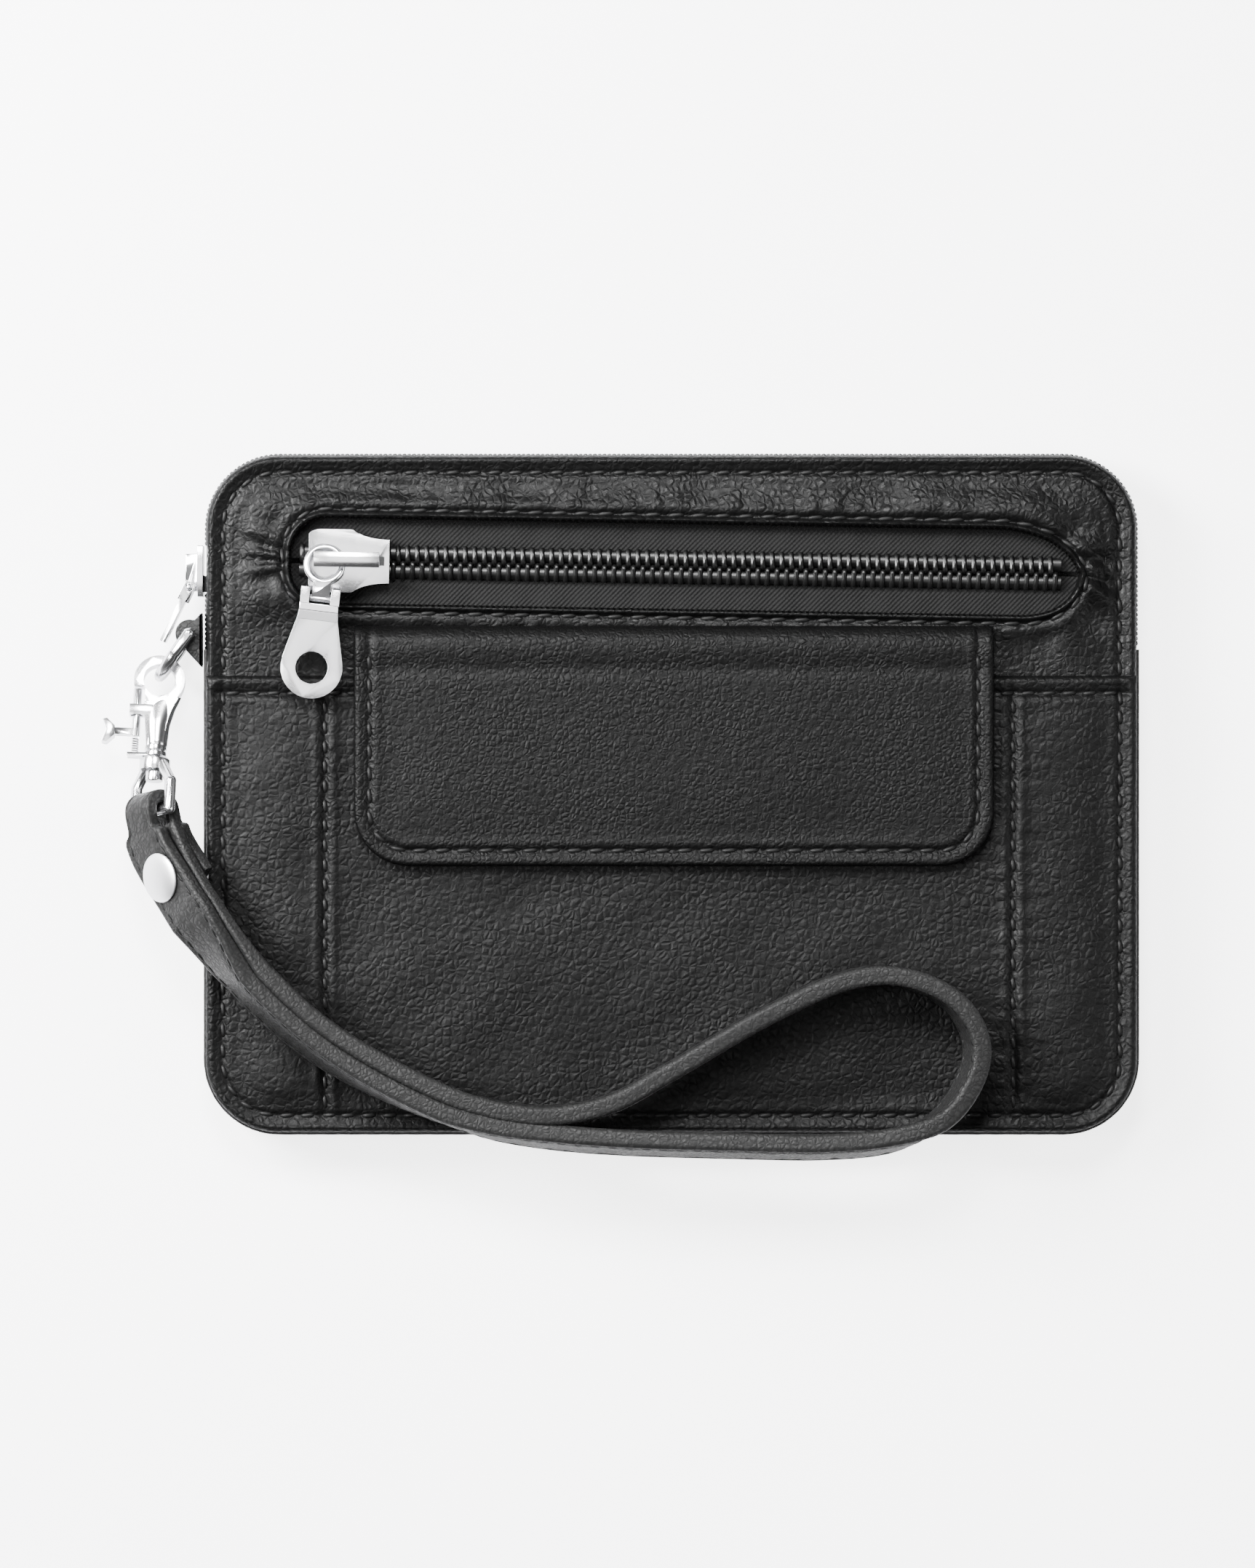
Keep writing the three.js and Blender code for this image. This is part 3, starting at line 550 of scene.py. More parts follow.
# The front panel's upper face: rim, window lip with its stitched groove, and creases that run
# out from the window, strongest at its right end.
def frontTop(x, y):
    inside = insideBody(x, y)
    out = fromWindow(x, y)
    zx, zy = toZip(x, y)
    lip = 0.42 * bell(out, 0.65, 0.6) - 0.38 * bell(out, 1.5, 0.42) + 0.22 * bell(out, 2.9, 0.9)
    endward = ease(zx, 30, 68) + 0.7 * ease(-zx, 52, 66)
    turn = np.arctan2(zy * 3, zx - np.clip(zx, -60, 60))
    spokes = np.sin(turn * 9 + rumple(x, y, 5, 22) * 1.2) * bell(out, 4.5, 3.6)
    pleats = np.sin(zx * 0.95 + rumple(x, y, 6, 14) * 1.7) * bell(out, 3.6, 2.6)
    creases = 0.45 * endward * spokes + 0.11 * (1 - endward * 0.6) * pleats
    bare = ease(y, 28, 35)  # it lies flat below, under the flap and the pocket
    soft = 0.22 * rumple(x, y, 7, 17) * ease(out, 1.8, 5) * ease(inside, 2.6, 5)
    swell = rimHeight(inside, puff=0.2 + 1.05 * bare)
    height = frontLevel["high"] + swell + lip + creases + soft * (0.35 + 0.65 * bare)
    rounded = np.minimum(fullness(inside, rim["round"]), fullness(out, 0.75))
    return frontLevel["low"] + (height - frontLevel["low"]) * rounded


def makeFrontPanel():
    outside = [0, 0.06, 0.16, 0.3, 0.5, 0.7, 0.95, 1.25, 1.6, 1.9, 2.2, 2.5, 2.8, 3.1, 3.4, 3.7, 4.1, 4.6]
    around = [0, 0.05, 0.14, 0.28, 0.45, 0.65, 0.85, 1.05, 1.25, 1.45, 1.65, 1.9]
    around += [2.2, 2.6, 3.0, 3.5, 4.0, 4.6]
    outer = [bodyOutline(-inset) for inset in outside]
    inner = []
    for reach in around:
        moved = windowRing + windowNormals * reach
        inner.append(np.column_stack(fromZip(moved[:, 0], moved[:, 1])))
    share = np.linspace(0, 1, 46)[1:-1] ** 1.25
    between = [inner[-1] + (outer[-1] - inner[-1]) * t for t in share]
    flat = np.stack(inner + between + outer[::-1])
    top = np.concatenate([flat, frontTop(flat[..., 0], flat[..., 1])[..., None]], -1)
    under = np.stack([bodyOutline(-0.2), inner[2]])
    low = np.full(under.shape[:2] + (1,), frontLevel["low"])
    loops = np.concatenate([top, np.concatenate([under, low], -1)])
    made = skin(loops, ring=True)
    makePiece("front_leather", *made, looks["leather_front"], "wallet", "leather_black", ["front_panel"])


makeFrontPanel()
print("front panel made")

flap = {
    "left": -54.5, "right": 55.3, "low": -12.4, "corner": 9.5, "span": 110.0,
    "foldFrom": 26.0, "foldTo": 28.85, "topDrop": 3.2, "underDrop": 2.3,
}


# Distance inside the flap's sides and lower edge, its two low corners round.
def insideFlap(x, y, grow=0.0):
    half = (flap["right"] - flap["left"]) / 2 + grow
    middle = (flap["right"] + flap["left"]) / 2
    radius = flap["corner"]
    qx = np.abs(x - middle) - half + radius
    qy = flap["low"] - grow + radius - y
    outside = np.hypot(np.maximum(qx, 0), np.maximum(qy, 0)) + np.minimum(np.maximum(qx, qy), 0)
    return radius - outside


# The pocket's hem and its two stitched columns.
hem = {"y": 20.3, "stitchY": 17.3, "left": -59.5, "right": 58.7, "columnFrom": 16.5, "columnTo": -54.6}
pocketLevel = {"low": 11.5, "high": 12.25}


# The patch pocket's upper face: the rim, a rolled hem, the two stitched columns and slack between.
def pocketTop(x, y):
    inside = insideBody(x, y)
    under = hem["y"] - y
    rimPart = rimHeight(inside, puff=0.3) * ease(under, -0.5, 2.5)
    hemPart = 0.4 * bell(under, 0.9, 0.85) - 0.42 * bell(under, 3.0, 0.5)
    hemPart = hemPart + 0.16 * bell(under, 4.4, 0.8)
    columns = 0
    for line, puckerSize in ((hem["left"], 0.05), (hem["right"], 0.12)):
        off = x - line
        pucker = np.sin(y * 1.75 + rumple(x, y, 12, 9)) * bell(off, 0, 4.2) * (1 - bell(off, 0, 1.0))
        ridges = bell(off, 1.5, 0.7) + bell(off, -1.5, 0.7)
        columns = columns - 0.42 * bell(off, 0, 0.5) + 0.2 * ridges
        columns = columns + puckerSize * pucker
    columns = columns * ease(under, 1.0, 3.0) * ease(inside, 1.8, 3.2)
    slack = 0.24 * rumple(x, y, 15, 38) + 0.07 * rumple(x, y, 16, 12)
    slack = slack + 0.75 * bell(x, -65.5, 6.5) + 0.45 * bell(x, 67.5, 6.0)
    slack = slack * ease(under, 2.5, 8) * ease(inside, 3, 8)
    slack = slack * (1 - 0.75 * ease(insideFlap(x, y), -6, 2))  # it lies flatter under the flap
    height = pocketLevel["high"] + rimPart + hemPart * ease(inside, 0.4, 2) + columns + slack
    rounded = np.minimum(fullness(inside, rim["round"]), fullness(under, 0.8))
    return pocketLevel["low"] + (height - pocketLevel["low"]) * rounded


# A leaf's flat lower face, at one height.
def flatUnder(level):
    return lambda x, y: np.full(np.shape(x), level)


def makePocket():
    rows = hem["y"] - spaced(hem["y"] + body["halfY"])
    lines = [body["halfX"] + hem["left"], body["halfX"] + hem["right"]]
    under = flatUnder(pocketLevel["low"])
    made = skin(leaf(rows, bodyReach, pocketTop, under, body["halfX"] * 2, lines=lines))
    makePiece("pocket_leather", *made, looks["leather_pocket"], "wallet", "leather_black", ["pocket_panel"])


makePocket()


back = {"thickness": 1.3, "level": 0.94, "stitchZ": 0.53, "stitchPitch": 3.6, "coarse": 1.1}


# The back panel, made lying on its face and then turned over: its outer side looks down.
def makeBack():
    rows = body["halfY"] - spaced(body["halfY"] * 2, coarse=back["coarse"])

    def top(x, y):
        inside = insideBody(x, y)
        height = back["level"] + rimHeight(inside, lip=0.25, puff=0.22, groove=0.4)
        height = height + 0.05 * rumple(x, y, 21, 26) * ease(inside, 4, 9)
        return np.minimum(0.98 * back["thickness"], height) * fullness(inside, rim["round"])

    loops = leaf(rows, bodyReach, top, flatUnder(0.0), body["halfX"] * 2, coarse=back["coarse"])
    loops[..., 2] = back["thickness"] - loops[..., 2]
    made = skin(loops)
    makePiece("back_leather", *made, looks["leather_pocket"], "wallet", "leather_black", ["back_panel"])
    ring = bodyOutline(-rim["groove"])
    line = np.column_stack([ring, np.full(len(ring), back["stitchZ"])])
    made = seam(line, back["stitchPitch"], True, up=(0, 0, -1))
    makePiece("back_stitches", *made, looks["thread"], "wallet", "leather_black")


makeBack()
print("pocket and back made")


# The part of the body's outline, grown outward, on one side of the seam: from right to left.
def sidePath(grow, upper, step=0.8):
    ring = bodyOutline(grow)
    if upper:
        run = ring[ring[:, 1] > body["seamY"] + 0.2]
        run = run[np.argsort(np.unwrap(np.arctan2(run[:, 1], run[:, 0])))]
    else:
        run = ring[ring[:, 1] < body["seamY"] - 0.2]
        turn = np.arctan2(run[:, 1], run[:, 0])
        turn = np.where(turn > math.pi / 2, turn - math.tau, turn)
        run = run[np.argsort(-turn)]
    edge = body["halfX"] + grow
    mark = body["seamY"] + (0.15 if upper else -0.15)
    run = np.concatenate([[[edge, mark]], run, [[-edge, mark]]])
    lengths = runAlong(run)
    at = np.linspace(0, lengths[-1], int(lengths[-1] / step))
    path = pointsAt(run, lengths, at)
    along = unit(np.gradient(path, axis=0))
    normal = np.column_stack([along[:, 1], -along[:, 0]])
    if (normal * path).sum() < 0:
        normal = -normal
    return path, normal, at


# A band round the body's side: each loop is a section of (outward offset, height) pairs, whose
# outer points also move out by wave(run, height).
def sideBand(grow, upper, section, wave):
    path, normal, run = sidePath(grow, upper)
    height = np.repeat(section[None, :, 1], len(path), 0)
    offset = section[None, :, 0] + wave(run[:, None], height) * (section[None, :, 0] > -0.5)
    xy = path[:, None] + normal[:, None] * offset[..., None]
    return np.concatenate([xy, height[..., None]], -1)


# Level directions across a path, pointing away from the body's middle.
def outwardOf(places, heading):
    out = np.column_stack([heading[:, 1], -heading[:, 0], np.zeros(len(heading))])
    return -out if (out[:, :2] * places[:, :2]).sum() < 0 else out


# Stitches on a band's outer side at one height.
def bandSeam(path, level, pitch=3.6):
    line = np.column_stack([path, np.full(len(path), level)])
    places, heading = paced(line, pitch)
    out = outwardOf(places, heading)
    return copies(stitchLoft(pitch * 0.8, 0.26), places, heading, np.cross(out, heading), out)


gusset = {"stitchZ": (2.9, 8.4), "middleZ": 5.6, "stitchInset": 0.36}


def makeGusset():
    z = np.array([1.62, 1.7, 1.95, 2.4, 2.9, 3.4, 4.2, 5.2, 6.2, 7.2, 7.9, 8.4, 8.9, 9.35, 9.6, 9.68])
    lowSeam, highSeam = gusset["stitchZ"]
    out = -0.1 * np.ones(len(z)) - 0.35 * (bell(z, lowSeam, 0.35) + bell(z, highSeam, 0.35))
    out[0] = out[-1] = -0.55
    out[1] = out[-2] = -0.3
    inner = np.array([[-1.25, 9.6], [-1.25, 1.7]])
    section = np.concatenate([np.column_stack([out, z]), inner])

    def wave(run, height):
        fold = 0.2 * bell(height, gusset["middleZ"], 1.6) * (0.5 + 0.5 * np.sin(run * 0.045))
        return 0.05 * np.sin(run * 1.7 + height) * bell(height, gusset["middleZ"], 3) - fold

    loops = sideBand(body["proud"], False, section, wave)
    makePiece("side_leather", *skin(loops), looks["leather_painted_lighter"], "wallet", "leather_black", ["gusset"])
    path, _, _ = sidePath(body["proud"] - gusset["stitchInset"], False)
    parts = [bandSeam(path, level) for level in gusset["stitchZ"]]
    makePiece("side_stitches", *gathered(parts), looks["thread"], "wallet", "leather_black")


makeGusset()


# One tooth of a zip coil in a frame of its own: y runs in from the tape to the chain's middle
# and z up. A bent round wire that thickens at its head.
def toothLoft(reach, wire, rise, sides=7):
    along = np.array([0, 0.12, 0.4, 0.72, 0.9, 1.0])
    girth = np.array([0.75, 1, 0.95, 1.0, 1.15, 0.7]) * wire
    lift = np.array([-0.5, 0, 0.75, 1.0, 0.72, 0.1]) * rise
    turn = np.arange(sides) * math.tau / sides
    y = np.repeat((along * reach)[:, None], sides, 1)
    x = girth[:, None] * np.cos(turn)
    return np.stack([x, y, lift[:, None] + girth[:, None] * np.sin(turn)], -1)


frontTeeth = {"row": 2.95, "level": 10.75, "reach": 3.2, "wire": 0.46, "rise": 0.4, "lean": 0.04}
frontTape = {"from": -68.9, "to": 70.9, "level": 9.78, "low": 9.4, "ridgeAt": 3.7}


def makeFrontZip():
    f, t = zipFrame, frontTeeth
    count = round((f["to"] - f["from"]) / f["pitch"])
    c, s = math.cos(f["turn"]), math.sin(f["turn"])
    for name, side in (("upper", 1), ("lower", -1)):
        # the two rows of teeth stand half a pitch apart
        x = f["from"] + (np.arange(count) + (0.25 if side > 0 else 0.75)) * f["pitch"]
        wx, wy = fromZip(x, np.full(count, side * t["row"]))
        places = np.column_stack([wx, wy, np.full(count, t["level"])])
        heading = np.tile([c, s, 0.0], (count, 1))
        inward = np.tile([s * side + c * t["lean"], -c * side + s * t["lean"], 0.0], (count, 1))
        up = np.tile([0.0, 0.0, 1.0], (count, 1))
        parts = [copies(toothLoft(t["reach"], t["wire"], t["rise"]), places, heading, inward, up)]
        # the woven cord that runs inside the coil
        run = np.linspace(f["from"], f["to"], 160)
        turn = np.arange(8) * math.tau / 8
        cordY = side * 1.55 + 1.1 * np.cos(turn)
        cx, cy = fromZip(run[:, None], np.repeat(cordY[None], len(run), 0))
        cz = np.repeat(10.35 + 0.42 * np.sin(turn)[None], len(run), 0)
        parts.append(skin(np.stack([cx, cy, cz], -1)))
        made = gathered(parts)
        makePiece("front_teeth_" + name, *made, looks["coil"], "wallet", "zip_coil", ["front_coil_" + name])
        rows = np.linspace(frontTape["from"], frontTape["to"], 240)
        across = np.concatenate([[0.45, 0.5], np.linspace(0.9, 8.4, 14), [8.7, 8.75]]) * side
        tx, ty = np.meshgrid(rows, across, indexing="ij")
        ripple = 0.06 * np.sin(tx * 1.1) + 0.08 * rumple(tx, ty, 31 + side, 9)
        ridge = 0.16 * bell(np.abs(ty), frontTape["ridgeAt"], 0.35)
        top = frontTape["level"] + ridge + ripple * ease(np.abs(ty), 3.4, 5)
        ux, uy = fromZip(tx, ty)
        upper = np.stack([ux, uy, top], -1)
        lower = np.stack([ux[:, ::-1], uy[:, ::-1], np.full(ux.shape, frontTape["low"])], -1)
        made = skin(np.concatenate([upper, lower], 1))
        node = "front_zip_tape_" + name
        makePiece("front_tape_" + name, *made, looks["twill"], "wallet", "zip_tape", [node])


makeFrontZip()

# The two tapes of the side zip, by height, and the stretch of the left side that its slider covers.
sideTapes = {"back": {"low": 1.62, "high": 4.15}, "front": {"low": 6.85, "high": 9.68}}
sideTeeth = {"reach": 1.75, "wire": 0.5, "rise": 0.42, "inset": 0.35, "gapY": (34.2, 42.6)}


def makeZipBand():
    for name, tape in sideTapes.items():
        low, high = tape["low"], tape["high"]
        z = np.linspace(low, high, 12)
        out = 0.0 * z
        out[0] = out[-1] = -0.25
        ridgeAt = high - 0.55 if name == "back" else low + 0.55
        out = out + 0.14 * bell(z, ridgeAt, 0.3)
        inner = [[-0.95, high - 0.1], [-0.95, low + 0.1]]
        section = np.concatenate([np.column_stack([out, z]), inner])

        def wave(run, height):
            return 0.05 * np.sin(run * 0.9 + height)

        made = skin(sideBand(0.0, True, section, wave))
        node = "main_tape_" + name
        makePiece("side_tape_" + name, *made, looks["twill"], "wallet", "zip_tape", [node])
        path, _, _ = sidePath(0.0, True)
        # each row starts at its tape's edge and reaches to the other one, half a pitch apart
        edge, reach = (high, 1.0) if name == "back" else (low, -1.0)
        places, heading = paced(np.column_stack([path, np.full(len(path), edge)]), zipFrame["pitch"])
        if name == "front":
            places = places + heading * zipFrame["pitch"] / 2
        outward = outwardOf(places, heading)
        places = places - outward * sideTeeth["inset"]
        gapLow, gapHigh = sideTeeth["gapY"]
        covered = (places[:, 0] < -79) & (places[:, 1] > gapLow) & (places[:, 1] < gapHigh)
        places, heading, outward = places[~covered], heading[~covered], outward[~covered]
        inward = np.tile([0.0, 0.0, reach], (len(places), 1))
        loft = toothLoft(sideTeeth["reach"], sideTeeth["wire"], sideTeeth["rise"])
        made = copies(loft, places, heading, inward, outward)
        makePiece("side_teeth_" + name, *made, looks["coil"], "wallet", "zip_coil", ["main_coil_" + name])


makeZipBand()
print("zips made")


# ---- the flap

# The left and right ends of the flap's row at y, its low corners round.
def flapReach(grow):
    def reach(y):
        radius = flap["corner"]
        down = np.clip(flap["low"] - grow + radius - y, 0, radius)
        drawn = radius - np.sqrt(radius**2 - down**2)
        return flap["left"] - grow + drawn, flap["right"] + grow - drawn

    return reach


flapLevel = {"low": 14.35, "high": 15.27}


# The fold at the flap's top edge: a quarter of an ellipse from foldFrom to foldTo.
def foldDrop(y, deep, reach):
    t = np.clip((y - flap["foldFrom"]) / reach, 0, 1)
    return deep * (1 - np.sqrt(np.maximum(1 - t**2, 0)))


# The flap's upper face: a turned edge, a stitched groove and a soft middle, falling at the fold.
def flapTop(x, y):
    inside = insideFlap(x, y)
    away = flap["foldFrom"] - y
    height = flapLevel["high"] + 0.14 * bell(inside, 0.9, 0.6) - 0.34 * bell(inside, 2.7, 0.5)
    height = height + 0.12 * bell(inside, 4.0, 0.8) + 0.16 * ease(inside, 3.4, 14)
    height = height + 0.07 * rumple(x, y, 41, 38) * ease(inside, 3, 9) + 0.2 * bell(away, 1.0, 1.8)
    height = height - 0.22 * bell(away, 4.6, 1.3)
    rounded = fullness(inside, 0.6)
    flat = flapLevel["low"] + (height - flapLevel["low"]) * rounded
    return flat - foldDrop(y, flap["topDrop"], flap["foldTo"] - flap["foldFrom"])


def flapUnder(x, y):
    return flapLevel["low"] - foldDrop(y, flap["underDrop"], flap["foldTo"] - flap["foldFrom"] + 0.15)


def makeFlapLeather():
    rows = flap["foldTo"] - spaced(flap["foldTo"] - flap["low"], fine=0.22, coarse=0.6)
    made = skin(leaf(rows, flapReach(0.0), flapTop, flapUnder, flap["span"], coarse=0.6))
    nodes = ["flap_outer", "flap_stiffener"]
    makePiece("flap_leather", *made, looks["leather_flap"], "flap", "leather_black", nodes)


backing = {"grow": -0.25, "topY": 27.0, "low": 13.5, "rise": 0.02, "full": 0.76, "coarse": 1.5}


def makeFlapBacking():
    grow = backing["grow"]
    rows = backing["topY"] - spaced(backing["topY"] - flap["low"] + grow, coarse=backing["coarse"])

    def top(x, y):
        full = backing["full"] * fullness(insideFlap(x, y, grow), 0.5)
        return backing["low"] + backing["rise"] + full

    under = flatUnder(backing["low"])
    reach = flapReach(grow)
    made = skin(leaf(rows, reach, top, under, flap["span"], coarse=backing["coarse"], lowColumns=40))
    makePiece("flap_backing", *made, looks["leather_edge"], "flap", "leather_black", ["flap_lining"])


# The stitched line: down the left side, round the lower edge and up the right side.
def makeFlapSeam():
    inset, endY, pitch = 2.7, 24.2, 3.8
    radius = flap["corner"] - inset
    turnY = flap["low"] + flap["corner"]
    leftArc = arc((flap["left"] + flap["corner"], turnY), radius, 180, 270, 30)
    rightArc = arc((flap["right"] - flap["corner"], turnY), radius, 270, 360, 30)
    ends = [[flap["left"] + inset, endY]], [[flap["right"] - inset, endY]]
    line = np.concatenate([ends[0], leftArc, rightArc, ends[1]])
    run = runAlong(line)
    flat = pointsAt(line, run, np.linspace(0, run[-1], 600))
    above = np.column_stack([flat, flapTop(flat[:, 0], flat[:, 1]) + 0.12])
    below = np.column_stack([flat, np.full(len(flat), backing["low"] - 0.02)])
    made = gathered([seam(above, pitch), seam(below, pitch, up=(0.0, 0.0, -1.0))])
    makePiece("flap_stitches", *made, looks["thread"], "flap", "leather_black")


flapRoot = {"topY": 25.9, "lowY": 21.0, "inset": 0.3, "low": 11.55, "rise": 0.07, "full": 1.2, "span": 109.0}


# The strip by which the flap is sewn to the front, hidden below it.
def makeFlapRoot():
    r = flapRoot
    left, right = flap["left"] + r["inset"], flap["right"] - r["inset"]
    rows = r["topY"] - spaced(r["topY"] - r["lowY"], edge=1.5, fine=0.3, coarse=0.7)

    def reach(y):
        return np.full(len(y), left), np.full(len(y), right)

    def top(x, y):
        edge = np.minimum(np.minimum(r["topY"] - y, y - r["lowY"]), np.minimum(x - left, right - x))
        return r["low"] + r["rise"] + r["full"] * fullness(edge, 0.5)

    made = skin(leaf(rows, reach, top, flatUnder(r["low"]), r["span"], coarse=1.5))
    makePiece("flap_base", *made, looks["leather_edge"], "wallet", "leather_black", ["flap_root"])


makeFlapLeather()
makeFlapBacking()
makeFlapSeam()
makeFlapRoot()
print("flap made")


# ---- seams on the front

# A seam over a surface: the line's points are lifted to the surface's own height.
def laidSeam(line, surface, pitch, closed=False, lift=0.1, **kind):
    points = np.column_stack([line, surface(line[:, 0], line[:, 1]) + lift])
    return seam(points, pitch, closed, **kind)


def makeFrontSeams():
    ring = bodyOutline(-rim["groove"])
    upper = ring[ring[:, 1] > hem["y"] - 0.2]
    lower = ring[ring[:, 1] <= hem["y"] - 1.2]
    turn = np.arctan2(lower[:, 1], lower[:, 0])
    lower = lower[np.argsort(np.where(turn > math.pi / 2, turn - math.tau, turn))]
    window = windowRing + windowNormals * 1.5
    window = np.column_stack(fromZip(window[:, 0], window[:, 1]))
    parts = [laidSeam(upper, frontTop, 3.6, lift=0.16)]
    parts.append(laidSeam(window, frontTop, 4.0, True, lift=0.14))
    makePiece("front_stitches", *gathered(parts), looks["thread"], "wallet", "leather_black")
    edge = body["halfX"] - rim["groove"]
    hemLine = np.linspace((-edge, hem["stitchY"]), (edge, hem["stitchY"]), 200)
    parts = [laidSeam(lower, pocketTop, 3.6, lift=0.16), laidSeam(hemLine, pocketTop, 3.5, lift=0.14)]
    for x in (hem["left"], hem["right"]):
        column = np.linspace((x, hem["columnFrom"]), (x, hem["columnTo"]), 200)
        parts.append(laidSeam(column, pocketTop, 3.4, lift=0.14))
    makePiece("pocket_stitches", *gathered(parts), looks["thread"], "wallet", "leather_black")


makeFrontSeams()
print("seams made")


# ---- the wrist strap

strap = {
    "width": 10.0, "thickness": 2.2, "pitch": 2.5, "tongue": 3.3, "endAt": 3.4, "straight": 2.0,
    "bend": 7.0, "planeEnd": 21.0, "rivetAt": 12.3, "tailAt": 15.2, "height": 19.8,
    "stitchInset": 1.35, "stitchPitch": 2.9,
}
# The strap folds round the eye's bar, leaves it square to it, and bends edgewise to its heading.
eyeBar = jointPlace("strap_pivot")
barDirection = againstJoint("strap_pivot")
climb = math.radians(24)
lastHeading = np.array([0.55 * math.cos(climb), -0.835 * math.cos(climb), math.sin(climb)])
lastHeading /= np.linalg.norm(lastHeading)
leaving = lastHeading - barDirection * (barDirection @ lastHeading)
leaving /= np.linalg.norm(leaving)
strapFace = np.cross(leaving, barDirection)
outwardRun = [
    (-70.6, -31.1), (-59.3, -41.0), (-40.0, -51.0), (-30.1, -54.0), (-20.4, -55.0), (-10.3, -52.9),
    (-0.6, -47.7), (16.5, -37.8), (29.4, -32.0), (36.8, -31.0), (43.4, -32.6), (48.6, -36.0),
    (51.6, -40.8), (52.1, -45.4), (49.9, -51.1), (45.7, -55.9), (37.8, -59.2), (26.6, -60.4), (10.0, -60.2),
]
homewardRun = [
    (-9.1, -59.6), (-20.4, -58.7), (-30.0, -57.3), (-38.3, -54.9), (-48.5, -50.6), (-58.0, -45.4),
    (-66.0, -39.3), (-73.6, -31.9),
]


# A station of the riveted part: straight, then a bend edgewise about the strap's face.
def inPlane(distance, offset):
    bendAngle = math.acos(float(leaving @ lastHeading))
    along = min(distance, strap["straight"])
    turned = bendAngle * min(max(distance - strap["straight"], 0), strap["bend"]) / strap["bend"]
    radius = strap["bend"] / bendAngle
    point = eyeBar + leaving * (along + radius * math.sin(turned))
    point = point + barDirection * radius * (1 - math.cos(turned))
    heading = leaving * math.cos(turned) + barDirection * math.sin(turned)
    past = max(distance - strap["straight"] - strap["bend"], 0)
    return point + heading * past + strapFace * offset, np.cross(strapFace, heading)


# The strap's stations, each a point with the direction across the strap's width there.
def strapStations():
    rivetAt = strap["rivetAt"]
    stations = [inPlane(d, 0) for d in (strap["endAt"], 6, 9, rivetAt, 16, strap["planeEnd"])]
    for x, y in outwardRun + homewardRun:
        laid = 0.34 * (1 - float(ease(x, -72, -25)))  # its outer face still looks up a little here
        tucked = 0.2 * float(ease(-y, 55, 58.5))  # its upper edge leans in over the wallet
        lean = np.array([float(ease(x, 20, 50)) * 0.18 + laid * 0.75, laid * 0.66 + tucked, 1])
        stations.append((np.array([x, y, strap["height"]]), lean / np.linalg.norm(lean)))
    stations += [inPlane(d, strap["pitch"]) for d in (strap["planeEnd"], 16, rivetAt, 9, 6, 3, 1)]
    for turn in np.linspace(0, math.pi, 9):
        point = eyeBar + strap["pitch"] * (strapFace * math.cos(turn) - leaving * math.sin(turn))
        stations.append((point, barDirection))
    stations += [inPlane(d, -strap["pitch"]) for d in (1, 3, 6, 9, rivetAt, strap["tailAt"])]
    return np.array([s[0] for s in stations]), np.array([s[1] for s in stations])


# Centripetal Catmull-Rom curve through points: each span is a cubic whose end slopes come from
# the square roots of the chords.
def catmull(points, perSpan):
    ends = np.concatenate([[2 * points[0] - points[1]], points, [2 * points[-1] - points[-2]]])
    curve, places = [], []
    for i in range(len(points) - 1):
        p0, p1, p2, p3 = ends[i : i + 4]
        d0, d1, d2 = (max(np.linalg.norm(chord) ** 0.5, 1e-4) for chord in (p1 - p0, p2 - p1, p3 - p2))
        m1 = ((p1 - p0) / d0 - (p2 - p0) / (d0 + d1) + (p2 - p1) / d1) * d1
        m2 = ((p2 - p1) / d1 - (p3 - p1) / (d1 + d2) + (p3 - p2) / d2) * d1
        count = perSpan[i]
        t = (np.arange(count) / count)[:, None]
        toNext = 3 * t**2 - 2 * t**3
        slopes = (t**3 - 2 * t**2 + t) * m1 + (t**3 - t**2) * m2
        curve.append((1 - toNext) * p1 + toNext * p2 + slopes)
        places.append(i + t[:, 0])
    curve.append(points[-1:])
    places.append([len(points) - 1])
    return np.concatenate(curve), np.concatenate(places)


# The strap's centre line, with its directions across its width and out of its face, and the
# distance run along it.
def strapFrames(step=0.55):
    points, widths = strapStations()
    gaps = np.linalg.norm(np.diff(points, axis=0), axis=1)
    line, places = catmull(points, [max(3, int(gap / step)) for gap in gaps])
    across = pointsAt(widths, np.arange(len(widths)), places)
    along = unit(np.gradient(line, axis=0))
    normal = unit(np.cross(along, across))
    return line, np.cross(normal, along), normal, runAlong(line)


# Half the strap's width along it: narrow only where it folds through the eye.
def strapHalfWidth(line, run):
    height = (line - eyeBar) @ leaving
    near = np.linalg.norm(line - eyeBar, axis=1) < 9
    late = run > run[-1] / 2
    narrow = (1 - ease(height, 2.7, 3.9)) * near * late
    half = strap["width"] / 2 - (strap["width"] / 2 - strap["tongue"]) * narrow
    return half + 1.2 * bell(run, 3.0, 5.5)  # the shoulder beside the eye


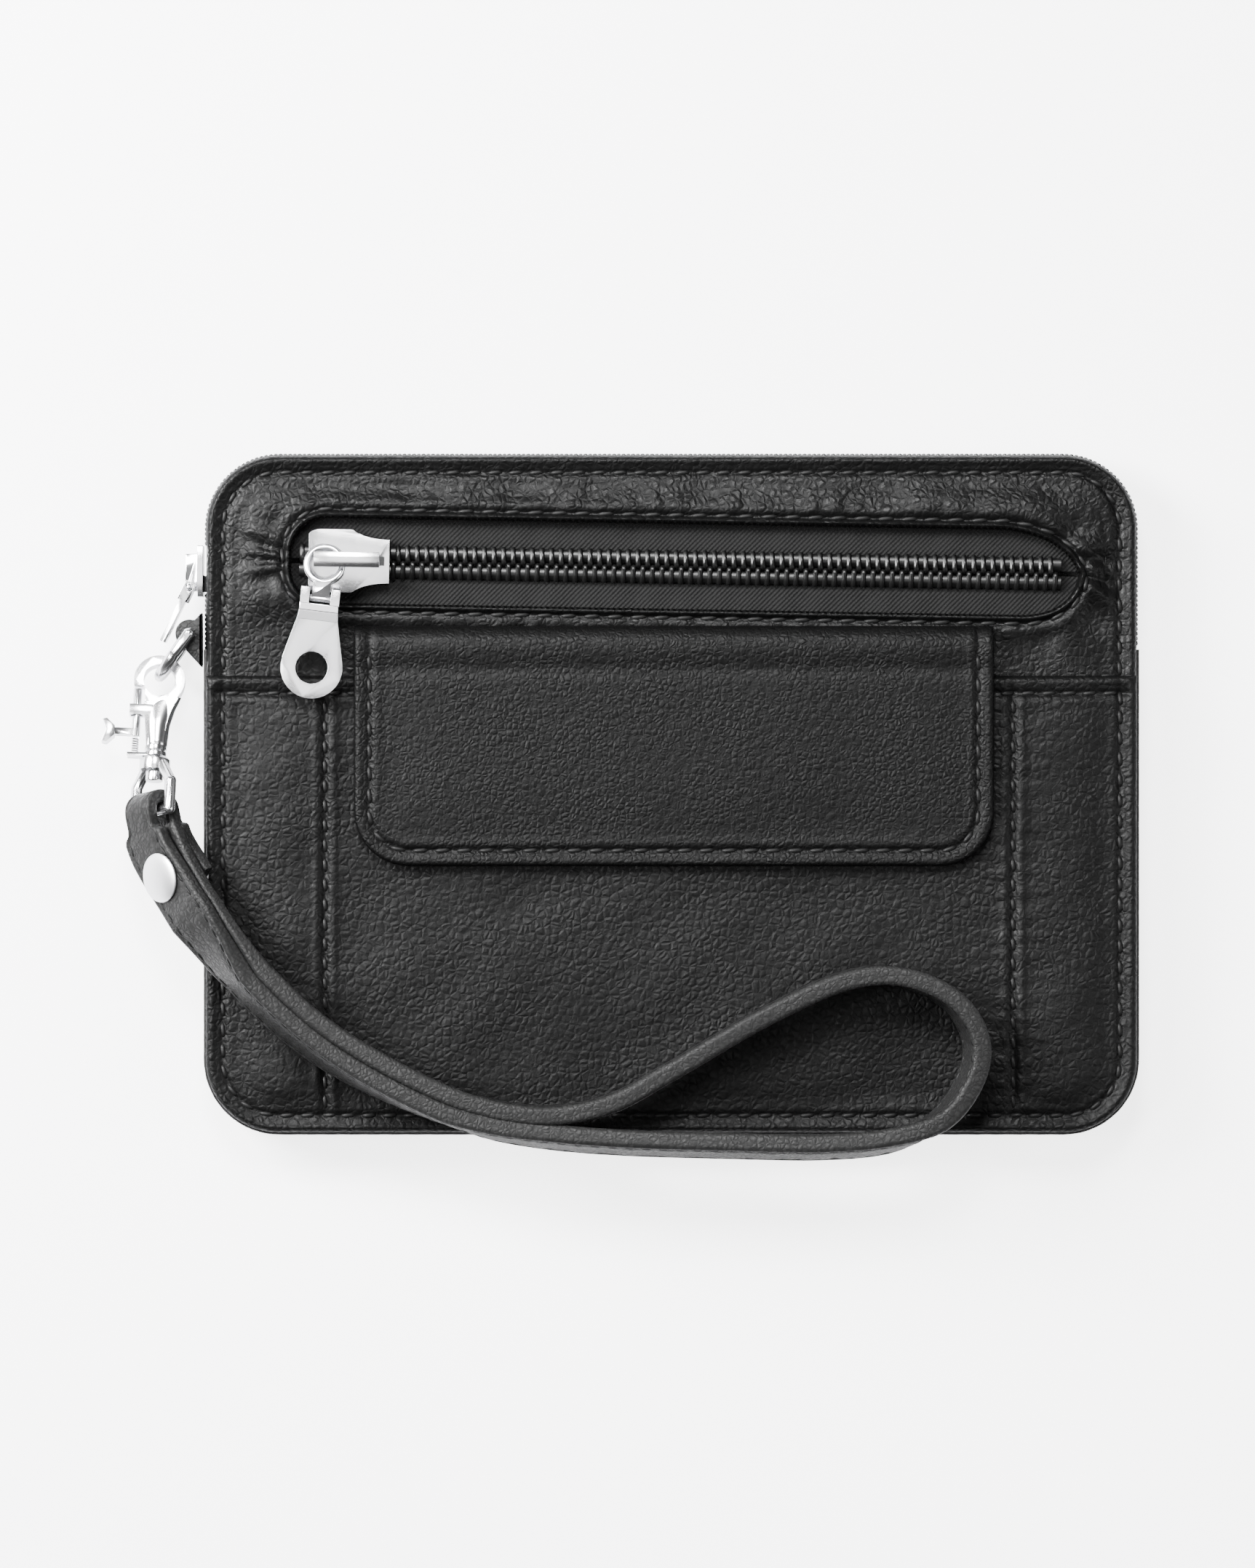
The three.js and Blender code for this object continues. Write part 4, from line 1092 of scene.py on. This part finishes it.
def makeStrap():
    line, across, normal, run = strapFrames()
    half = strapHalfWidth(line, run)
    # thicker where its padded fold lies free than between the rivet's layers
    free = ease(run, 24, 34) * (1 - ease(run, run[-1] - 58, run[-1] - 48))
    thick = strap["thickness"] / 2
    swell = (1 + 0.42 * free)[:, None]
    w = np.array([-1, -0.995, -0.97, -0.92, -0.86, -0.8, -0.74, -0.68, -0.6, -0.4, -0.15])
    w = np.concatenate([w, -w[::-1]])
    edge = (1 - np.abs(w)) * strap["width"] / 2
    face = thick * (0.45 + 0.55 * np.sqrt(1 - (1 - np.clip(edge / 0.8, 0, 1)) ** 2))
    face = face - 0.2 * bell(edge, strap["stitchInset"], 0.35) + 0.04
    wave = (0.05 * np.sin(run * 0.8) + 0.04 * np.sin(run * 2.1 + 1))[:, None] * ease(edge, 0.6, 2)
    out = np.concatenate([face * swell + wave, -face[::-1] * swell + wave], 1)
    side = np.concatenate([w, w[::-1]])[None] * half[:, None]
    # the two cut ends taper in thickness a little
    ends = np.minimum(run, run[-1] - run)
    out = out * (0.7 + 0.3 * fullness(ends, 0.7))[:, None]
    made = skin(line[:, None] + across[:, None] * side[..., None] + normal[:, None] * out[..., None])
    makePiece("strap_leather", *made, looks["leather_painted_lighter"], "strap", "leather_black", ["wrist_strap"])
    parts = []
    full = (half > strap["width"] / 2 - 0.1) & (run > 1.5) & (run < run[-1] - 1.5)
    for faceSide in (1, -1):
        for edgeSide in (1, -1):
            inset = strap["width"] / 2 - strap["stitchInset"]
            path = line + across * edgeSide * inset + normal * faceSide * (thick * swell - 0.08)
            places, heading = paced(path[full], strap["stitchPitch"])
            nearest = [int(np.argmin(((path - place) ** 2).sum(1))) for place in places]
            out = normal[nearest] * faceSide
            parts.append(copies(stitchLoft(2.3, 0.24), places, heading, np.cross(out, heading), out))
    makePiece("strap_stitches", *gathered(parts), looks["thread"], "strap", "leather_black")


makeStrap()
print("strap made")


# ---- the side tab: a folded loop of leather round the D-ring's bar

sideTab = {"centre": (-83.0, 27.6), "radius": 2.45, "rootX": -80.9, "rootY": (21.8, 31.2), "around": 72}


def makeSideTab():
    low, high = ([sideTab["rootX"], y] for y in sideTab["rootY"])
    fold = arc(sideTab["centre"], sideTab["radius"], 70, 215, 24)
    closed = np.concatenate([[low, high], fold, [low]])
    run = runAlong(closed)
    ring = pointsAt(closed, run, np.linspace(0, run[-1], sideTab["around"], endpoint=False))
    normals = normalsOf(ring)
    if (normals * (ring - ring.mean(0))).sum() < 0:
        normals = -normals
    z = np.array([3.05, 3.1, 3.3, 3.7, 4.3, 5.2, 6.4, 7.6, 8.5, 9.1, 9.5, 9.7, 9.75])
    draw = np.array([0.34, 0.2, 0.1, 0.03, 0.1, 0, 0, 0, 0.1, 0.03, 0.1, 0.2, 0.34])
    flat = ring[None] - normals[None] * draw[:, None, None]
    level = np.broadcast_to(z[:, None, None], flat.shape[:2] + (1,))
    made = skin(np.concatenate([flat, level], -1))
    makePiece("tab_leather", *made, looks["leather_painted_lighter"], "wallet", "leather_black", ["side_tab"])


makeSideTab()


# ---- metal and hidden pieces

def bodyOfNode(node):
    bodies = frame["record"]["behaviour"]["bodies"]
    return next(name for name, nodes in bodies.items() if node in nodes)


# A node's own mesh, welded, with rounded edges: its flat facets shade smooth up to the angle.
def polished(node, look, width, segments):
    mesh = frame["nodes"][node].data.copy()
    mesh.materials.clear()
    mesh.materials.append(look)
    made = bpy.data.objects.new(node + "_metal", mesh)
    bpy.context.scene.collection.objects.link(made)
    weld = made.modifiers.new("weld", "WELD")
    weld.merge_threshold = 0.002 * metre
    bevel = made.modifiers.new("bevel", "BEVEL")
    bevel.width = width * metre
    bevel.segments = segments
    bevel.limit_method = "ANGLE"
    bevel.angle_limit = math.radians(38)
    bpy.context.view_layer.update()
    shaped = made.evaluated_get(bpy.context.evaluated_depsgraph_get())
    shaped = bpy.data.meshes.new_from_object(shaped)
    made.modifiers.clear()
    made.data = shaped
    shaped.polygons.foreach_set("use_smooth", np.ones(len(shaped.polygons), bool))
    shaped.set_sharp_from_angle(angle=math.radians(42))
    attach(made, bodyOfNode(node))
    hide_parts(node)


# Each metal piece's edge radius and the steps round it.
metalPieces = {
    "front_slider": (0.3, 3), "front_link": (0.1, 2), "front_pull_tab": (0.28, 3),
    "main_slider": (0.22, 2), "main_pull": (0.2, 2), "d_ring": (0.1, 2), "hook_body": (0.42, 3),
    "hook_bolt": (0.18, 2), "swivel_eye": (0.1, 2), "rivet_cap": (0.1, 2), "rivet_back": (0.1, 2),
}
for node, (width, segments) in metalPieces.items():
    plating = "satin_nickel" if node.startswith("rivet") else "nickel"
    polished(node, looks[plating], width, segments)


# The pull tab's cover over its pin and, below it, a dark box in place of the shade in the tab's recessed
# groove (painted shade), as boxes in the tab's own frame.
def makePullCover():
    origin = jointPlace("front_tab_lift")
    sideways, up = againstJoint("front_tab_lift"), np.array([0.0, 0.0, 1.0])
    axes = np.array([sideways, np.cross(up, sideways), up])
    parts = {
        "pull_cover": ((-3.35, 3.35), (-2.2, -0.9), (0.9, 1.45), 0.14, "nickel"),
        # a dark box where the recessed groove's shade falls: painted shade
        "pull_painted_groove_shade": ((-3.3, 3.3), (-3.75, -2.3), (0.95, 1.24), 0.05, "painted_groove_shade_nickel"),
    }
    # the box's corners count up in x, then y, then z
    quads = [[2, 3, 1, 0], [4, 5, 7, 6], [0, 1, 5, 4], [6, 7, 3, 2], [4, 6, 2, 0], [1, 3, 7, 5]]
    for name, (x, y, z, edge, look) in parts.items():
        corner = np.array([(x[i], y[j], z[k]) for k in (0, 1) for j in (0, 1) for i in (0, 1)])
        points = origin + corner @ axes
        made = makePiece(name, points, np.array(quads), [], looks[look], "front_zip_tab", "nickel")
        bevel = made.modifiers.new("bevel", "BEVEL")
        bevel.width = edge * metre
        bevel.segments = 3


makePullCover()


# The hook's own frame: y runs up it, against the bolt's pull, and x lies level across it.
hookOrigin = jointPlace("hook_pivot")
hookY = againstJoint("bolt_slide")
hookX = np.cross(hookY, [0.0, 0.0, 1.0])
hookX /= np.linalg.norm(hookX)
hookAxes = np.array([hookX, hookY, np.cross(hookX, hookY)])


# The hook's tapered shank: ellipses from the eye down to the neck, in the hook's own frame.
def makeShank():
    high, low, around = -3.7, -12.9, 28
    y = np.linspace(high, low, 26)
    left = np.interp(y, [low, -9, -5.2, high], [-1.7, -2.1, -2.4, -1.6])
    right = np.interp(y, [low, -9, -6, -4.6, high], [1.9, 2.2, 3.0, 3.6, 3.9])
    deep = np.interp(y, [low, -8, high], [1.75, 1.65, 1.1])
    deep = deep * fullness(np.minimum(high - y, y - low), 0.6)
    turn = np.arange(around) * math.tau / around
    x = (left + right)[:, None] / 2 + (right - left)[:, None] / 2 * np.cos(turn)
    z = deep[:, None] * np.sin(turn)
    loops = hookOrigin + np.stack([x, np.repeat(y[:, None], around, 1), z], -1) @ hookAxes
    makePiece("hook_shank", *skin(loops), looks["nickel"], "hook", "nickel")


makeShank()

spring = {"x": -3.6, "low": -13.65, "high": -11.15, "radius": 0.5, "wire": 0.14, "turns": 6, "keep": 0.12}


# The bolt's spring: a wire wound about a line beside the shank, in the hook's own frame. The
# wire's section turns with the coil.
def makeSpring():
    low, high, turns = spring["low"], spring["high"], spring["turns"]
    t = np.linspace(0, 1, turns * 14)
    angle = t * turns * math.tau
    around = np.arange(6) * math.tau / 6
    reach = spring["radius"] + spring["wire"] * np.cos(around)[None]
    x = spring["x"] + np.cos(angle)[:, None] * reach
    z = np.sin(angle)[:, None] * reach
    y = (low + (high - low) * t)[:, None] + spring["wire"] * np.sin(around)[None]
    made = skin(hookOrigin + np.stack([x, y, z], -1) @ hookAxes)
    coil = makePiece("bolt_coil", *made, looks["steel"], "hook", "spring_steel", ["bolt_spring"])
    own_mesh(coil)


makeSpring()

# The nodes that keep their own shape and take a material only.
plainPieces = {
    "snap_stud": "nickel", "snap_socket": "nickel",
    "main_zip_end_left": "twill", "main_zip_end_right": "twill",
    "back_lining": "lining", "front_lining": "lining", "zip_pocket_bag": "lining",
}
for node, lookName in plainPieces.items():
    materials = frame["nodes"][node].data.materials
    materials.clear()
    materials.append(looks[lookName])
print("metal made")


# ---- floor, light and camera

floorLook = Look("floor", baseColor=0.8, roughness=0.9, specular=0.0)
floorLook.shader.inputs["Emission Color"].default_value = (1, 1, 1, 1)
# it glows brighter to the eye than it lights the object, as a lit-through table does
seen = floorLook.node("ShaderNodeLightPath", {}, {}, "Is Camera Ray")
floorLook.use("Emission Strength", seen * 2.95 + 0.6)
bpy.ops.mesh.primitive_plane_add(size=3.0, location=(0, 0, -0.2 * metre))
floor = bpy.context.object
floor.name = "floor"
floor.data.materials.append(floorLook.material)

world = bpy.context.scene.world or bpy.data.worlds.new("room")
bpy.context.scene.world = world
world.use_nodes = True
background = world.node_tree.nodes["Background"]
background.inputs["Strength"].default_value = 1.0
# the room is bright near the horizon and dim overhead: brightness = 0.5 (1 - height)^3 + 0.04
nodes, links = world.node_tree.nodes, world.node_tree.links
direction = nodes.new("ShaderNodeTexCoord")
split = nodes.new("ShaderNodeSeparateXYZ")
links.new(direction.outputs["Generated"], split.inputs[0])
height = Value(world.node_tree, split.outputs["Z"]).ramp(0, 1)
bright = (1 - height) ** 3 * 0.5 + 0.04
joined = nodes.new("ShaderNodeCombineColor")
for channel in range(3):
    links.new(bright.socket, joined.inputs[channel])
links.new(joined.outputs[0], background.inputs["Color"])

lamps = [
    {"name": "key", "at": (-0.42, 0.22, 0.36), "size": 0.26, "power": 15.0},
    {"name": "fill", "at": (0.55, -0.1, 0.45), "size": 0.3, "power": 2.0},
    {"name": "rear", "at": (-0.05, 0.52, 0.88), "size": 0.26, "power": 17.0},
    {"name": "side", "at": (-0.52, 0.0, 0.86), "size": 0.24, "power": 7.0},
    {"name": "top", "at": (0.0, 0.0, 1.9), "size": 0.8, "power": 5.6},
]
for lamp in lamps:
    light = bpy.data.lights.new(lamp["name"], "AREA")
    light.shape = "SQUARE"
    light.size = lamp["size"]
    light.energy = lamp["power"]
    holder = bpy.data.objects.new(lamp["name"], light)
    holder.location = lamp["at"]
    holder.rotation_euler = (-Vector(lamp["at"])).to_track_quat("-Z", "Y").to_euler()
    bpy.context.scene.collection.objects.link(holder)

view = {"centre": (-7.56, 1.69), "tall": 269.5, "distance": 1500.0, "level": 12.0}
camera = bpy.data.cameras.new("camera")
camera.sensor_fit = "VERTICAL"
camera.sensor_height = 24.0
camera.lens = camera.sensor_height * (view["distance"] - view["level"]) / view["tall"]
camera.clip_end = 10.0
holder = bpy.data.objects.new("camera", camera)
holder.location = (view["centre"][0] * metre, view["centre"][1] * metre, view["distance"] * metre)
bpy.context.scene.collection.objects.link(holder)
bpy.context.scene.camera = holder
